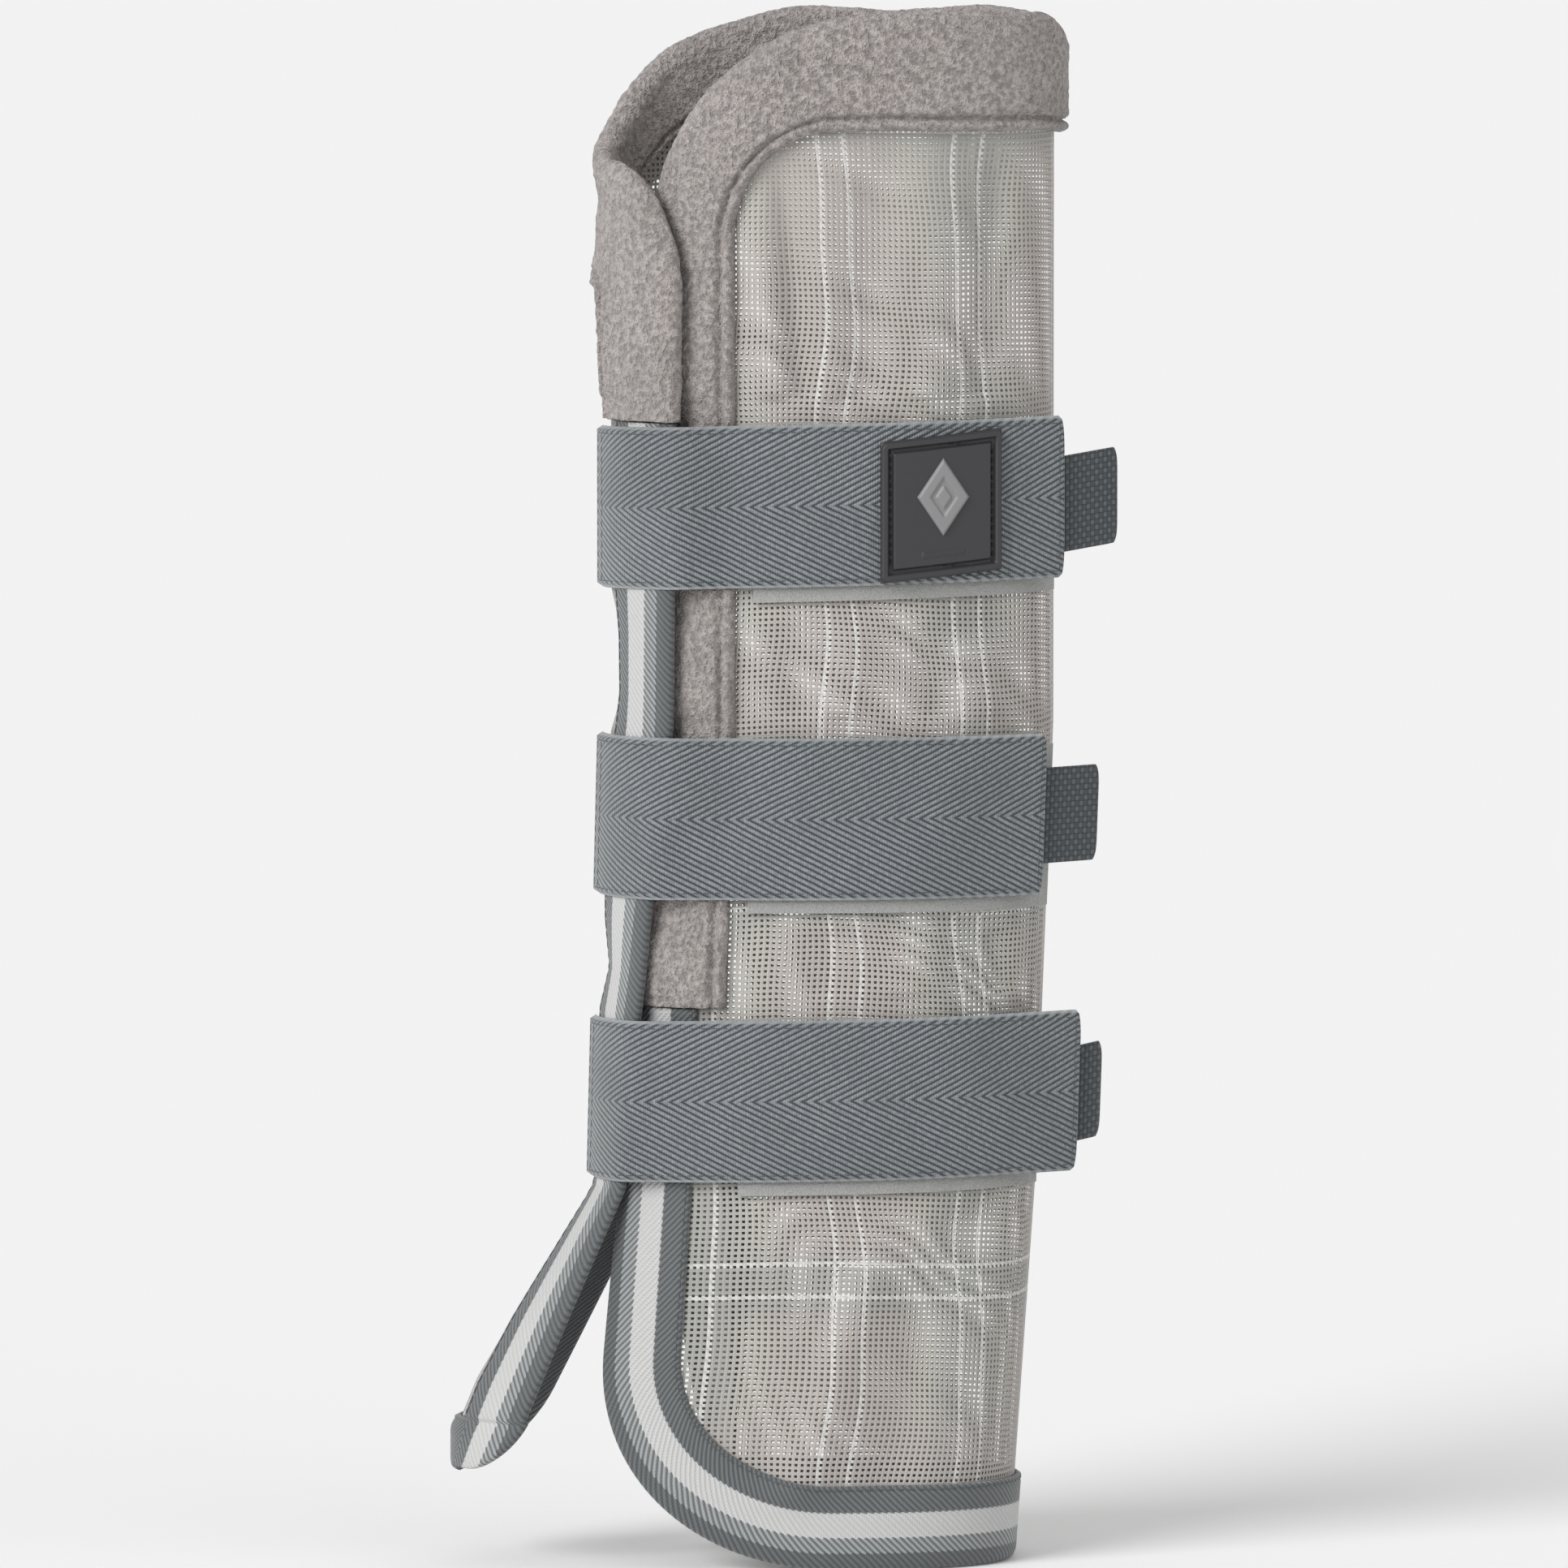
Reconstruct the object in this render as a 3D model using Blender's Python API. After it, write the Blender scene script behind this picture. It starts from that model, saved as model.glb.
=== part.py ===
"""A horse's fly boot: a mesh panel rolled round the leg and closed by three straps.

Metres, +Z up. The front faces -Y and the flap with the sewn strap ends is at -X. The
panel is one ring: it runs from its front edge round the right fold, along the back, and
round the left fold to the flap's free edge. A place on it is a distance along the cloth,
a height and an offset outwards from the middle of the mesh.
"""

from functools import lru_cache
from math import cos, pi, radians, sin

import bmesh
import bpy
import numpy as np
from mathutils import Vector

# Overall sizes
HEIGHT = 0.480
LEVELS = (0.0, 0.117, 0.260, HEIGHT)  # heights at which the section is given
RIGHT = (0.0565, 0.0645, 0.0700, 0.0700)  # half width to the right fold, per level
FRONT_LEFT = (0.100, 0.0700, 0.0580, 0.0550)  # half width of the front panel's left side
FOLD_LEFT = (0.1345, 0.0705, 0.0670, 0.0670)  # half width to the left fold
BODY_DEPTH = 0.039  # half depth of the tube
FLAP_CLEARANCE = (0.004, 0.008, 0.001, 0.001)  # between the flap's fleece and the front's, per level
FLAP_REACH = (0.040, 0.029, 0.042, 0.045)  # cloth from the left fold to the flap's free edge
ROUNDNESS = 2.3  # the section's superellipse power; 2 is an ellipse
FRONT_REACH = 0.152  # cloth from the right fold to the front panel's edge

# Cloth thicknesses and clearances
MESH = 0.0012
FLEECE = 0.0024
TAPE = 0.0010
LOOP = 0.0010
HOOK = 0.0010
WEBBING = 0.0018
TAB = 0.0020
BADGE = 0.0022
MOTIF = 0.0008
GAP = 0.0005  # between layers that touch
MESH_INSET = 0.002  # the mesh ends this far inside its bound edge
HEM_CENTRE = 0.001  # where a folded tape's round turn is centred, inside the edge

# Widths and lengths
FLEECE_WIDTH = 0.034
TAPE_WIDTH = 0.025
FLEECE_FRONT_END = 0.1735  # height at which the front edge's fleece gives way to tape
FLEECE_ABOVE_STRAP = 0.0025  # the flap's fleece ends this far above the top strap
TOP_CORNER = (0.065, 0.066)  # the front panel's top corner, across and down
FLAP_CORNER = (0.138, 0.0856)  # the flap's top corner
BOTTOM_CORNER = (0.075, 0.065)  # the front panel's bottom corner
TAIL_TOP = 0.117  # height at which the flap's corner springs away from the back
TAIL_BACK = 0.036  # how far the sprung corner goes round behind the left fold
TAIL_FOOT = 0.029  # height of the sprung corner's lowest edge
TAIL_TIP = (0.016, 0.016)  # its corner at the free edge, across and up
TAIL_HEEL = (0.016, 0.020)  # its corner behind
PINCH_INSET = 0.001  # the tape's inner border turns round the tip this much nearer its edge
HEM_WIDTH = 0.015
BACK_FOOT = 0.106  # cloth from the right fold along which the back stands on its hem
CUT_CURVE = 0.7  # the back's lower left edge slants up as this power of the height

STRAP_WIDTH = 0.050
STRAP_START = 0.003  # from the left fold to a strap's sewn end
STRAP_CLEARS_EDGE = 0.004  # how far past the flap's free edge a strap turns down to the front
STRAP_LIFTS_OFF = 0.040  # from the right fold to where a strap leaves the panel
STRAPS = {
    # name: (height of its lower edge at the left, rise to the right, length of the free tip)
    "top": (0.3020, 0.0040, 0.0245),
    "middle": (0.2070, 0.0010, 0.0190),
    "bottom": (0.1190, 0.0030, 0.0340),
}
TAB_WIDTH = 0.0295
TAB_SHOWS = {"top": 0.0195, "middle": 0.0195, "bottom": 0.0090}
TAB_SEWN = 0.010
HOOK_LENGTH = 0.062
HOOK_MARGIN = 0.003
LOOP_DROP = 0.004  # the loop strip shows this far under its strap
LOOP_ENDS = (0.012, 0.112)  # cloth from the right fold
BADGED = "top"  # the strap with the badge
BADGE_SIZE = (0.038, 0.0435)
BADGE_FROM_TIP = 0.022  # from the strap's tip to the badge's near side
MOTIF_SIZE = (0.016, 0.024)

# How finely the pieces are divided
SAMPLES = 160  # points on a quarter of the section
COLUMN = 0.006  # the spacing of columns where the cloth bends
SHORT_ROWS = 2  # rows on a short stretch of an edge
LEVEL_ROWS = 3  # rows between two of the section's levels
FINE_ROWS = 4  # the same where the section changes faster
TIP_ROWS = 5  # steps round and near the sprung corner's tip
TAIL_ROWS = 6
FOOT_ROWS = 8
FLAP_COLUMNS = 8
TAIL_COLUMNS = 20
CORNER_STEPS = 8
FLAP_CORNER_STEPS = 7
HEEL_STEPS = 4
CUT_STEPS = 12
FLEECE_DIVISIONS = 6  # across each leaf of a folded binding, where its edge bends
TAPE_DIVISIONS = 4

FLEECE_MIDDLE = MESH / 2 + GAP + FLEECE / 2
TAPE_MIDDLE = MESH / 2 + GAP + TAPE / 2
FLEECE_OUTSIDE = FLEECE_MIDDLE + FLEECE / 2
TAPE_OUTSIDE = TAPE_MIDDLE + TAPE / 2
LOOP_MIDDLE = MESH / 2 + GAP + LOOP / 2
STRAP_ON_FRONT = max(FLEECE_OUTSIDE, LOOP_MIDDLE + LOOP / 2 + GAP + HOOK) + GAP + WEBBING / 2
STRAP_ON_FLAP = TAPE_OUTSIDE + GAP + WEBBING / 2
TURN = radians(30)  # a folded tape turns its edge over a flat between these angles
FLEECE_OVERHANG = FLEECE_MIDDLE * cos(TURN) + FLEECE / 2 - HEM_CENTRE
TAPE_OVERHANG = TAPE_MIDDLE * cos(TURN) + TAPE / 2 - HEM_CENTRE
TOP_EDGE = HEIGHT - FLEECE_OVERHANG
BOTTOM_EDGE = TAPE_OVERHANG
FLAP_DEPTH = tuple(BODY_DEPTH + 2 * FLEECE_OUTSIDE + clear for clear in FLAP_CLEARANCE)  # in front
FLEECE_FLAP_END = STRAPS["top"][0] + STRAP_WIDTH + FLEECE_ABOVE_STRAP
TIP_PINCH = (TAPE_WIDTH - PINCH_INSET, TAPE_WIDTH)
SIDE_AXIS = max(FOLD_LEFT[1:]) + FLEECE_OUTSIDE - GAP
LONGEST_TIP = max(tip + TAB_SHOWS[name] for name, (_, _, tip) in STRAPS.items())

LOOKS = {
    # name: (colour, roughness, metallic)
    "mesh": ((0.55, 0.52, 0.47), 0.75, 0.0),
    "fleece": ((0.44, 0.40, 0.37), 0.95, 0.0),
    "tape": ((0.35, 0.38, 0.40), 0.70, 0.0),
    "webbing": ((0.19, 0.22, 0.25), 0.60, 0.0),
    "tab": ((0.07, 0.09, 0.10), 0.60, 0.0),
    "hook": ((0.60, 0.60, 0.60), 0.80, 0.0),
    "loop": ((0.55, 0.56, 0.57), 0.90, 0.0),
    "badge": ((0.06, 0.06, 0.065), 0.50, 0.0),
    "motif": ((0.26, 0.26, 0.27), 0.45, 0.0),
}


def at_level(values, z):
    """One of the per-level sizes at a height."""
    return float(np.interp(z, LEVELS, values))


def quarter(half_width, half_depth):
    """A quarter of the section, from its side to its middle."""
    turn = np.linspace(0, pi / 2, SAMPLES)
    return half_width * np.cos(turn) ** (2 / ROUNDNESS), half_depth * np.sin(turn) ** (2 / ROUNDNESS)


def half_ring(right, left, depth):
    """The section from the right fold through y = depth to the left."""
    x_near, y_near = quarter(right, abs(depth))
    x_far, y_far = quarter(left, abs(depth))
    across = np.concatenate([x_near, -x_far[-2::-1]])
    return across, np.sign(depth) * np.concatenate([y_near, y_far[-2::-1]])


@lru_cache(maxsize=None)
def section(region, z):
    """One region's line in plan: x, y, the cloth's length up to each point, and the sign of its
    outer side."""
    right, fold = at_level(RIGHT, z), at_level(FOLD_LEFT, z)
    if region == "front":
        x, y = half_ring(right, at_level(FRONT_LEFT, z), -BODY_DEPTH)
    elif region == "back":
        x, y = half_ring(right, fold, BODY_DEPTH)
    elif region == "strap":
        x, y = strap_line(z)
    else:
        depth = at_level(FLAP_DEPTH, z) if region == "flap" else BODY_DEPTH
        across, y = quarter(fold, depth)
        x, y = -across, (-y if region == "flap" else y)
    outward = 1 if region in ("front", "leaf") else -1
    length = np.concatenate([[0.0], np.cumsum(np.hypot(np.diff(x), np.diff(y)))])
    return x, y, length, outward


def plan(region, distance, z, offset):
    """The point in plan at a distance along a region's line, moved outwards by an offset."""
    x, y, length, outward = section(region, z)
    inside = min(max(distance, length[0]), length[-1])
    i = min(max(int(np.searchsorted(length, inside)), 1), len(length) - 1)
    ahead, behind = min(i + 1, len(length) - 1), max(i - 2, 0)
    run = Vector((x[ahead] - x[behind], y[ahead] - y[behind])).normalized()
    share = (inside - length[i - 1]) / (length[i] - length[i - 1])
    point = Vector((x[i - 1], y[i - 1])).lerp(Vector((x[i], y[i])), share)
    out = Vector((-run.y, run.x)) * outward
    return point + run * (distance - inside) + out * offset


def on_cloth(region, distance, z, offset):
    """A point on a region; the flap's cloth goes on behind the left fold as the leaf."""
    if region == "flap" and distance < 0:
        region, distance = "leaf", -distance
    return Vector((*plan(region, distance, z, offset), z))


def flap_reach(z):
    return at_level(FLAP_REACH, z)


def back_reach(z):
    """Cloth from the right fold to the left fold along the back."""
    return float(section("back", z)[2][-1])


def strap_line(z):
    """The middle of a strap in plan: over the flap, onto the front panel, then straight off it."""
    over_flap = np.linspace(STRAP_START, flap_reach(z) + STRAP_CLEARS_EDGE, 12)
    over_front = np.linspace(FRONT_REACH - FLEECE_WIDTH, STRAP_LIFTS_OFF, 24)
    points = [plan("flap", d, z, STRAP_ON_FLAP) for d in over_flap]
    points += [plan("front", d, z, STRAP_ON_FRONT) for d in over_front]
    run = (points[-1] - points[-2]).normalized()
    points.append(points[-1] + run * LONGEST_TIP)
    return np.array([p.x for p in points]), np.array([p.y for p in points])


def material(kind):
    """The Principled material of one kind of cloth or trim."""
    colour, roughness, metallic = LOOKS[kind]
    made = bpy.data.materials.new(kind)
    made.use_nodes = True
    shader = made.node_tree.nodes["Principled BSDF"]
    shader.inputs["Base Color"].default_value = (*colour, 1.0)
    shader.inputs["Roughness"].default_value = roughness
    shader.inputs["Metallic"].default_value = metallic
    made.diffuse_color = (*colour, 1.0)
    return made


def thick_grid(name, kind, columns, rows, place, carrier=None):
    """A closed solid: a grid of cells on its inner side, extruded to its outer side.

    place(column, row, outside) gives each corner. The object hangs from its carrier,
    whose origin is on a joint's axis."""
    bm = bmesh.new()
    bmesh.ops.create_grid(bm, x_segments=columns, y_segments=rows, size=0.5)
    cell = bm.verts.layers.int.new("cell")
    for vert in bm.verts:
        vert[cell] = round((vert.co.x + 0.5) * columns) * (rows + 1) + round((vert.co.y + 0.5) * rows)
    grown = bmesh.ops.extrude_face_region(bm, geom=bm.faces[:], use_keep_orig=True)
    outer = {item for item in grown["geom"] if isinstance(item, bmesh.types.BMVert)}
    for vert in bm.verts:
        column, row = divmod(vert[cell], rows + 1)
        vert.co = place(column, row, vert in outer)
    bmesh.ops.recalc_face_normals(bm, faces=bm.faces)
    if bm.calc_volume(signed=True) < 0:
        bmesh.ops.reverse_faces(bm, faces=bm.faces)
    mesh = bpy.data.meshes.new(name)
    bm.to_mesh(mesh)
    bm.free()
    mesh.materials.append(material(kind))
    made = bpy.data.objects.new(name, mesh)
    bpy.context.collection.objects.link(made)
    if carrier:
        mesh.transform(carrier.matrix_world.inverted())
        made.parent = carrier
    return made


def axis_empty(name, x, y, z, carrier=None):
    """An empty on a joint's axis, carrying the pieces that turn about it."""
    made = bpy.data.objects.new(name, None)
    bpy.context.collection.objects.link(made)
    made.parent = carrier
    above = carrier.matrix_world.translation if carrier else Vector()
    made.location = Vector((x, y, z)) - above
    bpy.context.view_layer.update()
    return made


def spread(start, end, count):
    return [float(v) for v in np.linspace(start, end, count + 1)]


def spaced(start, end, step):
    return spread(start, end, max(1, round(abs(end - start) / step)))


def front_stations(end):
    """Distances of the front's columns: the same for every piece, closer where the cloth bends."""
    border = FRONT_REACH - FLEECE_WIDTH
    near = spaced(GAP / 2, STRAP_LIFTS_OFF, COLUMN)[:-1]
    middle = spaced(STRAP_LIFTS_OFF, border, 2 * COLUMN)[:-1]
    far = spaced(border, FRONT_REACH - MESH_INSET, COLUMN)
    return [d for d in near + middle + far if d < end - GAP] + [end]


def back_stations():
    """Distances of the back's columns, up to the left fold."""
    end = back_reach(HEIGHT) - GAP / 2
    bend = STRAP_LIFTS_OFF
    near = spaced(GAP / 2, bend, COLUMN)[:-1]
    return near + spaced(bend, end - bend, 2 * COLUMN)[:-1] + spaced(end - bend, end, COLUMN)


def corner_drop(distance, start, size):
    """How far an edge has dropped at a distance into an elliptical corner."""
    across, down = size
    share = min(max((distance - start) / across, 0.0), 1.0)
    return down * (1 - (1 - share * share) ** 0.5)


def inside_corner(size, inset):
    """The size of a corner's line this far inside its edge."""
    return size[0] - inset, size[1] - inset


def front_top(distance, inset=0.0):
    """The height of the front's top edge, or of the line this far inside it."""
    size = inside_corner(TOP_CORNER, inset)
    return TOP_EDGE - inset - corner_drop(distance, FRONT_REACH - TOP_CORNER[0], size)


def front_bottom(distance, inset=0.0):
    size = inside_corner(BOTTOM_CORNER, inset)
    return BOTTOM_EDGE + inset + corner_drop(distance, FRONT_REACH - BOTTOM_CORNER[0], size)


def flap_corner_start():
    """Cloth from the right fold, along the back, to where the flap's top corner starts."""
    return back_reach(HEIGHT) + flap_reach(HEIGHT) - FLAP_CORNER[0]


def flap_top(distance, inset=0.0):
    """The height of the flap corner's edge, or of the line this far inside it."""
    size = inside_corner(FLAP_CORNER, inset)
    return TOP_EDGE - inset - corner_drop(distance, flap_corner_start(), size)


def back_cut(z):
    """Cloth from the right fold to the back's lower left edge, which slants up to the tail."""
    high = back_reach(TAIL_TOP) - TAIL_BACK - 2 * TAPE_OVERHANG - GAP
    rise = max(z - BOTTOM_EDGE, 0.0) / (TAIL_TOP - BOTTOM_EDGE)
    return BACK_FOOT + (high - BACK_FOOT) * rise**CUT_CURVE


def tail_reach():
    return flap_reach(TAIL_FOOT)


def tail_foot(distance, inset=0.0):
    """The height of the sprung corner's lower edge, at a distance from the left fold."""
    tip = corner_drop(distance, tail_reach() - TAIL_TIP[0], inside_corner(TAIL_TIP, inset))
    heel = corner_drop(-distance, TAIL_BACK - TAIL_HEEL[0], inside_corner(TAIL_HEEL, inset))
    return TAIL_FOOT + inset + tip + heel


def panel(name, region, stations, heights, carrier=None):
    """A piece of the mesh. A station is a function of height, giving the column's distance;
    heights(station number) gives the column's corners from low to high."""
    columns = [heights(i) for i in range(len(stations))]

    def place(column, row, outside):
        z = columns[column][row]
        return on_cloth(region, stations[column](z), z, MESH / 2 if outside else -MESH / 2)

    return thick_grid(name, "mesh", len(stations) - 1, len(columns[0]) - 1, place, carrier)


def fixed(distance):
    return lambda z: distance


def make_front_mesh():
    distances = front_stations(FRONT_REACH - MESH_INSET)

    def heights(i):
        low, high = front_bottom(distances[i], MESH_INSET), front_top(distances[i], MESH_INSET)
        lower = spread(low, LEVELS[1], FINE_ROWS)[:-1]
        middle = spread(LEVELS[1], LEVELS[2], LEVEL_ROWS)[:-1]
        return lower + middle + spread(LEVELS[2], high, LEVEL_ROWS)

    panel("mesh_front", "front", [fixed(d) for d in distances], heights)


def make_back_mesh():
    distances = back_stations()
    shares = [(d - GAP / 2) / (distances[-1] - GAP / 2) for d in distances]

    def upper(i):
        low, high = TAIL_TOP + GAP / 2, flap_top(distances[i], MESH_INSET)
        return spread(low, LEVELS[2], LEVEL_ROWS)[:-1] + spread(LEVELS[2], high, LEVEL_ROWS)

    def station(share):
        return lambda z: GAP / 2 + share * (back_reach(z) - GAP)

    panel("mesh_back", "back", [station(s) for s in shares], upper)

    def lower_station(share):
        return lambda z: GAP / 2 + share * (back_cut(z) - MESH_INSET - GAP / 2)

    def lower(i):
        return spread(BOTTOM_EDGE + MESH_INSET, TAIL_TOP - GAP / 2, FOOT_ROWS)

    count = round(BACK_FOOT / COLUMN)
    panel("mesh_back_foot", "back", [lower_station(s) for s in spread(0.0, 1.0, count)], lower)


def make_flap_mesh(flap):
    shares = spread(0.0, 1.0, FLAP_COLUMNS)
    fold = back_reach(HEIGHT)

    def station(share):
        return lambda z: GAP / 2 + share * (flap_reach(z) - MESH_INSET - GAP / 2)

    def heights(i):
        high = flap_top(fold + station(shares[i])(HEIGHT), MESH_INSET)
        return spread(TAIL_TOP + GAP / 2, LEVELS[2], FINE_ROWS)[:-1] + spread(LEVELS[2], high, FINE_ROWS)

    panel("flap_mesh", "flap", [station(s) for s in shares], heights, flap)

    def tail_station(share):
        start = -TAIL_BACK + MESH_INSET
        return lambda z: start + share * (flap_reach(z) - MESH_INSET - start)

    tail_shares = spread(0.0, 1.0, TAIL_COLUMNS)

    def tail_heights(i):
        distance = tail_station(tail_shares[i])(TAIL_FOOT)
        return spread(tail_foot(distance, MESH_INSET), TAIL_TOP - GAP / 2, TAIL_ROWS)

    panel("flap_corner_mesh", "flap", [tail_station(s) for s in tail_shares], tail_heights, flap)


def folded_profile(width, middle, divisions):
    """A tape folded over an edge, as (distance in from the edge, offset) from leaf to leaf."""
    half = [(width + (HEM_CENTRE - width) * k / divisions, middle) for k in range(divisions + 1)]
    half.append((HEM_CENTRE - middle * cos(TURN), middle * sin(TURN)))
    return half + [(w, -n) for w, n in reversed(half)]


def thickened(profile, thickness):
    """The inner and outer sides of a profile, each point moved square to its neighbours."""
    points = [Vector(p) for p in profile]
    steps = [(b - a).normalized() for a, b in zip(points, points[1:])]
    inner, outer = [], []
    for i, point in enumerate(points):
        runs = steps[max(i - 1, 0):i + 1]
        run = sum(runs, Vector((0.0, 0.0))).normalized()
        square = Vector((run.y, -run.x)) * (thickness / 2 / run.dot(runs[0]))
        inner.append(point + square)
        outer.append(point - square)
    return inner, outer


def folded_band(name, kind, region, rings, width, divisions=1, carrier=None):
    """Fleece or tape folded over a panel's edge, leaf to leaf. A ring is its edge point and its
    inner border point, each a (distance, height)."""
    middle, thickness = (FLEECE_MIDDLE, FLEECE) if kind == "fleece" else (TAPE_MIDDLE, TAPE)
    sides = thickened(folded_profile(width, middle, divisions), thickness)

    def place(column, row, outside):
        edge, border = rings[column]
        inward, offset = sides[int(outside)][row]
        distance = edge[0] + (border[0] - edge[0]) * inward / width
        z = edge[1] + (border[1] - edge[1]) * inward / width
        return on_cloth(region, distance, z, offset)

    thick_grid(name, kind, len(rings) - 1, len(sides[0]) - 1, place, carrier)


def corner_rings(centre, size, width, start, end, steps, up):
    """Rings round an elliptical corner between two angles from the vertical."""
    rings = []
    for angle in spread(start, end, steps):
        across, along = sin(angle), up * cos(angle)
        edge = (centre[0] + across * size[0], centre[1] + along * size[1])
        border = (centre[0] + across * (size[0] - width), centre[1] + along * (size[1] - width))
        rings.append((edge, border))
    return rings


def level_rings(reach, heights, width):
    """Rings that lie level, from an edge at reach(z) inwards."""
    return [((reach(z), z), (reach(z) - width, z)) for z in heights]


def foot_rings(distances):
    """Rings along the level foot."""
    return [((d, BOTTOM_EDGE), (d, BOTTOM_EDGE + TAPE_WIDTH)) for d in distances]


def make_front_bindings():
    """Fleece round the front's top and down its edge, then striped tape down and along the foot."""
    corner = FRONT_REACH - TOP_CORNER[0]
    centre = (corner, TOP_EDGE - TOP_CORNER[1])
    top = [((d, TOP_EDGE), (d, TOP_EDGE - FLEECE_WIDTH)) for d in front_stations(corner - GAP / 2)]
    folded_band("fleece_top_front", "fleece", "front", top, FLEECE_WIDTH)

    heights = spread(FLEECE_FRONT_END + GAP / 2, LEVELS[2], SHORT_ROWS)[:-1]
    heights += spread(LEVELS[2], centre[1], LEVEL_ROWS)[:-1]
    rings = level_rings(fixed(FRONT_REACH), heights, FLEECE_WIDTH)
    rings += corner_rings(centre, TOP_CORNER, FLEECE_WIDTH, pi / 2, 0.0, CORNER_STEPS, 1)
    folded_band("fleece_front_edge", "fleece", "front", rings, FLEECE_WIDTH, FLEECE_DIVISIONS)

    corner = FRONT_REACH - BOTTOM_CORNER[0]
    centre = (corner, BOTTOM_EDGE + BOTTOM_CORNER[1])
    folded_band("tape_foot_front", "tape", "front", foot_rings(front_stations(corner - GAP / 2)), TAPE_WIDTH)

    heights = spread(FLEECE_FRONT_END - GAP / 2, LEVELS[1], SHORT_ROWS)[:-1]
    heights += spread(LEVELS[1], centre[1], FINE_ROWS)[:-1]
    rings = level_rings(fixed(FRONT_REACH), heights, TAPE_WIDTH)
    rings += corner_rings(centre, BOTTOM_CORNER, TAPE_WIDTH, pi / 2, 0.0, CORNER_STEPS, -1)
    folded_band("tape_front_edge", "tape", "front", rings, TAPE_WIDTH, TAPE_DIVISIONS)


def make_back_bindings():
    """Fleece along the back's top, and tape along its foot and up the slanted edge."""
    top = [((d, flap_top(d)), (d, flap_top(d, FLEECE_WIDTH))) for d in back_stations()]
    folded_band("fleece_top_back", "fleece", "back", top, FLEECE_WIDTH)

    foot = foot_rings(spaced(GAP / 2, BACK_FOOT - GAP, COLUMN))
    folded_band("tape_foot_back", "tape", "back", foot, TAPE_WIDTH)

    rings = []
    for share in spread(0.0, 1.0, CUT_STEPS):
        z = BOTTOM_EDGE + (TAIL_TOP - GAP / 2 - BOTTOM_EDGE) * share**2
        turn = share**2 * pi / 2
        border = (back_cut(z) - TAPE_WIDTH * sin(turn), z + TAPE_WIDTH * cos(turn))
        rings.append(((back_cut(z), z), border))
    folded_band("tape_back_edge", "tape", "back", rings, TAPE_WIDTH, TAPE_DIVISIONS)


def make_flap_fleece(flap):
    """Fleece round the flap's top corner and down to where its tape starts."""
    start, fold = flap_corner_start(), back_reach(HEIGHT)
    inner = inside_corner(FLAP_CORNER, FLEECE_WIDTH)
    low, into = TOP_EDGE - FLAP_CORNER[1], fold + GAP / 2 - start
    outer_turns = spread(np.arcsin(into / FLAP_CORNER[0]), pi / 2, FLAP_CORNER_STEPS)
    inner_turns = spread(np.arcsin(into / inner[0]), pi / 2, FLAP_CORNER_STEPS)
    rings = []
    for outer_turn, inner_turn in zip(outer_turns, inner_turns):
        edge = (start - fold + FLAP_CORNER[0] * sin(outer_turn), low + FLAP_CORNER[1] * cos(outer_turn))
        border = (start - fold + inner[0] * sin(inner_turn), low + inner[1] * cos(inner_turn))
        rings.append((edge, border))
    rings += level_rings(flap_reach, [FLEECE_FLAP_END], FLEECE_WIDTH)
    folded_band("flap_fleece", "fleece", "flap", rings, FLEECE_WIDTH, FLEECE_DIVISIONS, flap)


def tip_pinch():
    """The point that the tape's inner border turns round at the sprung corner's tip."""
    return tail_reach() - TIP_PINCH[0], TAIL_FOOT + TIP_PINCH[1]


def make_flap_tape(flap):
    """Striped tape down the flap's free edge and round the sprung corner's tip."""
    tip_top = TAIL_FOOT + TAIL_TIP[1]
    heights = spread(FLEECE_FLAP_END - GAP, LEVELS[2], SHORT_ROWS)[:-1]
    heights += spread(LEVELS[2], LEVELS[1], LEVEL_ROWS)[:-1]
    heights += spread(LEVELS[1], tip_top, TIP_ROWS)[:-1]
    rings = level_rings(flap_reach, heights, TAPE_WIDTH)
    rings.append(((flap_reach(tip_top), tip_top), tip_pinch()))
    tip_centre = (tail_reach() - TAIL_TIP[0], tip_top)
    turned = corner_rings(tip_centre, TAIL_TIP, 0.0, pi / 2, 0.0, TIP_ROWS, -1)
    rings += [(edge, tip_pinch()) for edge, _ in turned[1:]]
    folded_band("flap_tape", "tape", "flap", rings, TAPE_WIDTH, FLEECE_DIVISIONS, flap)


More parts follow.
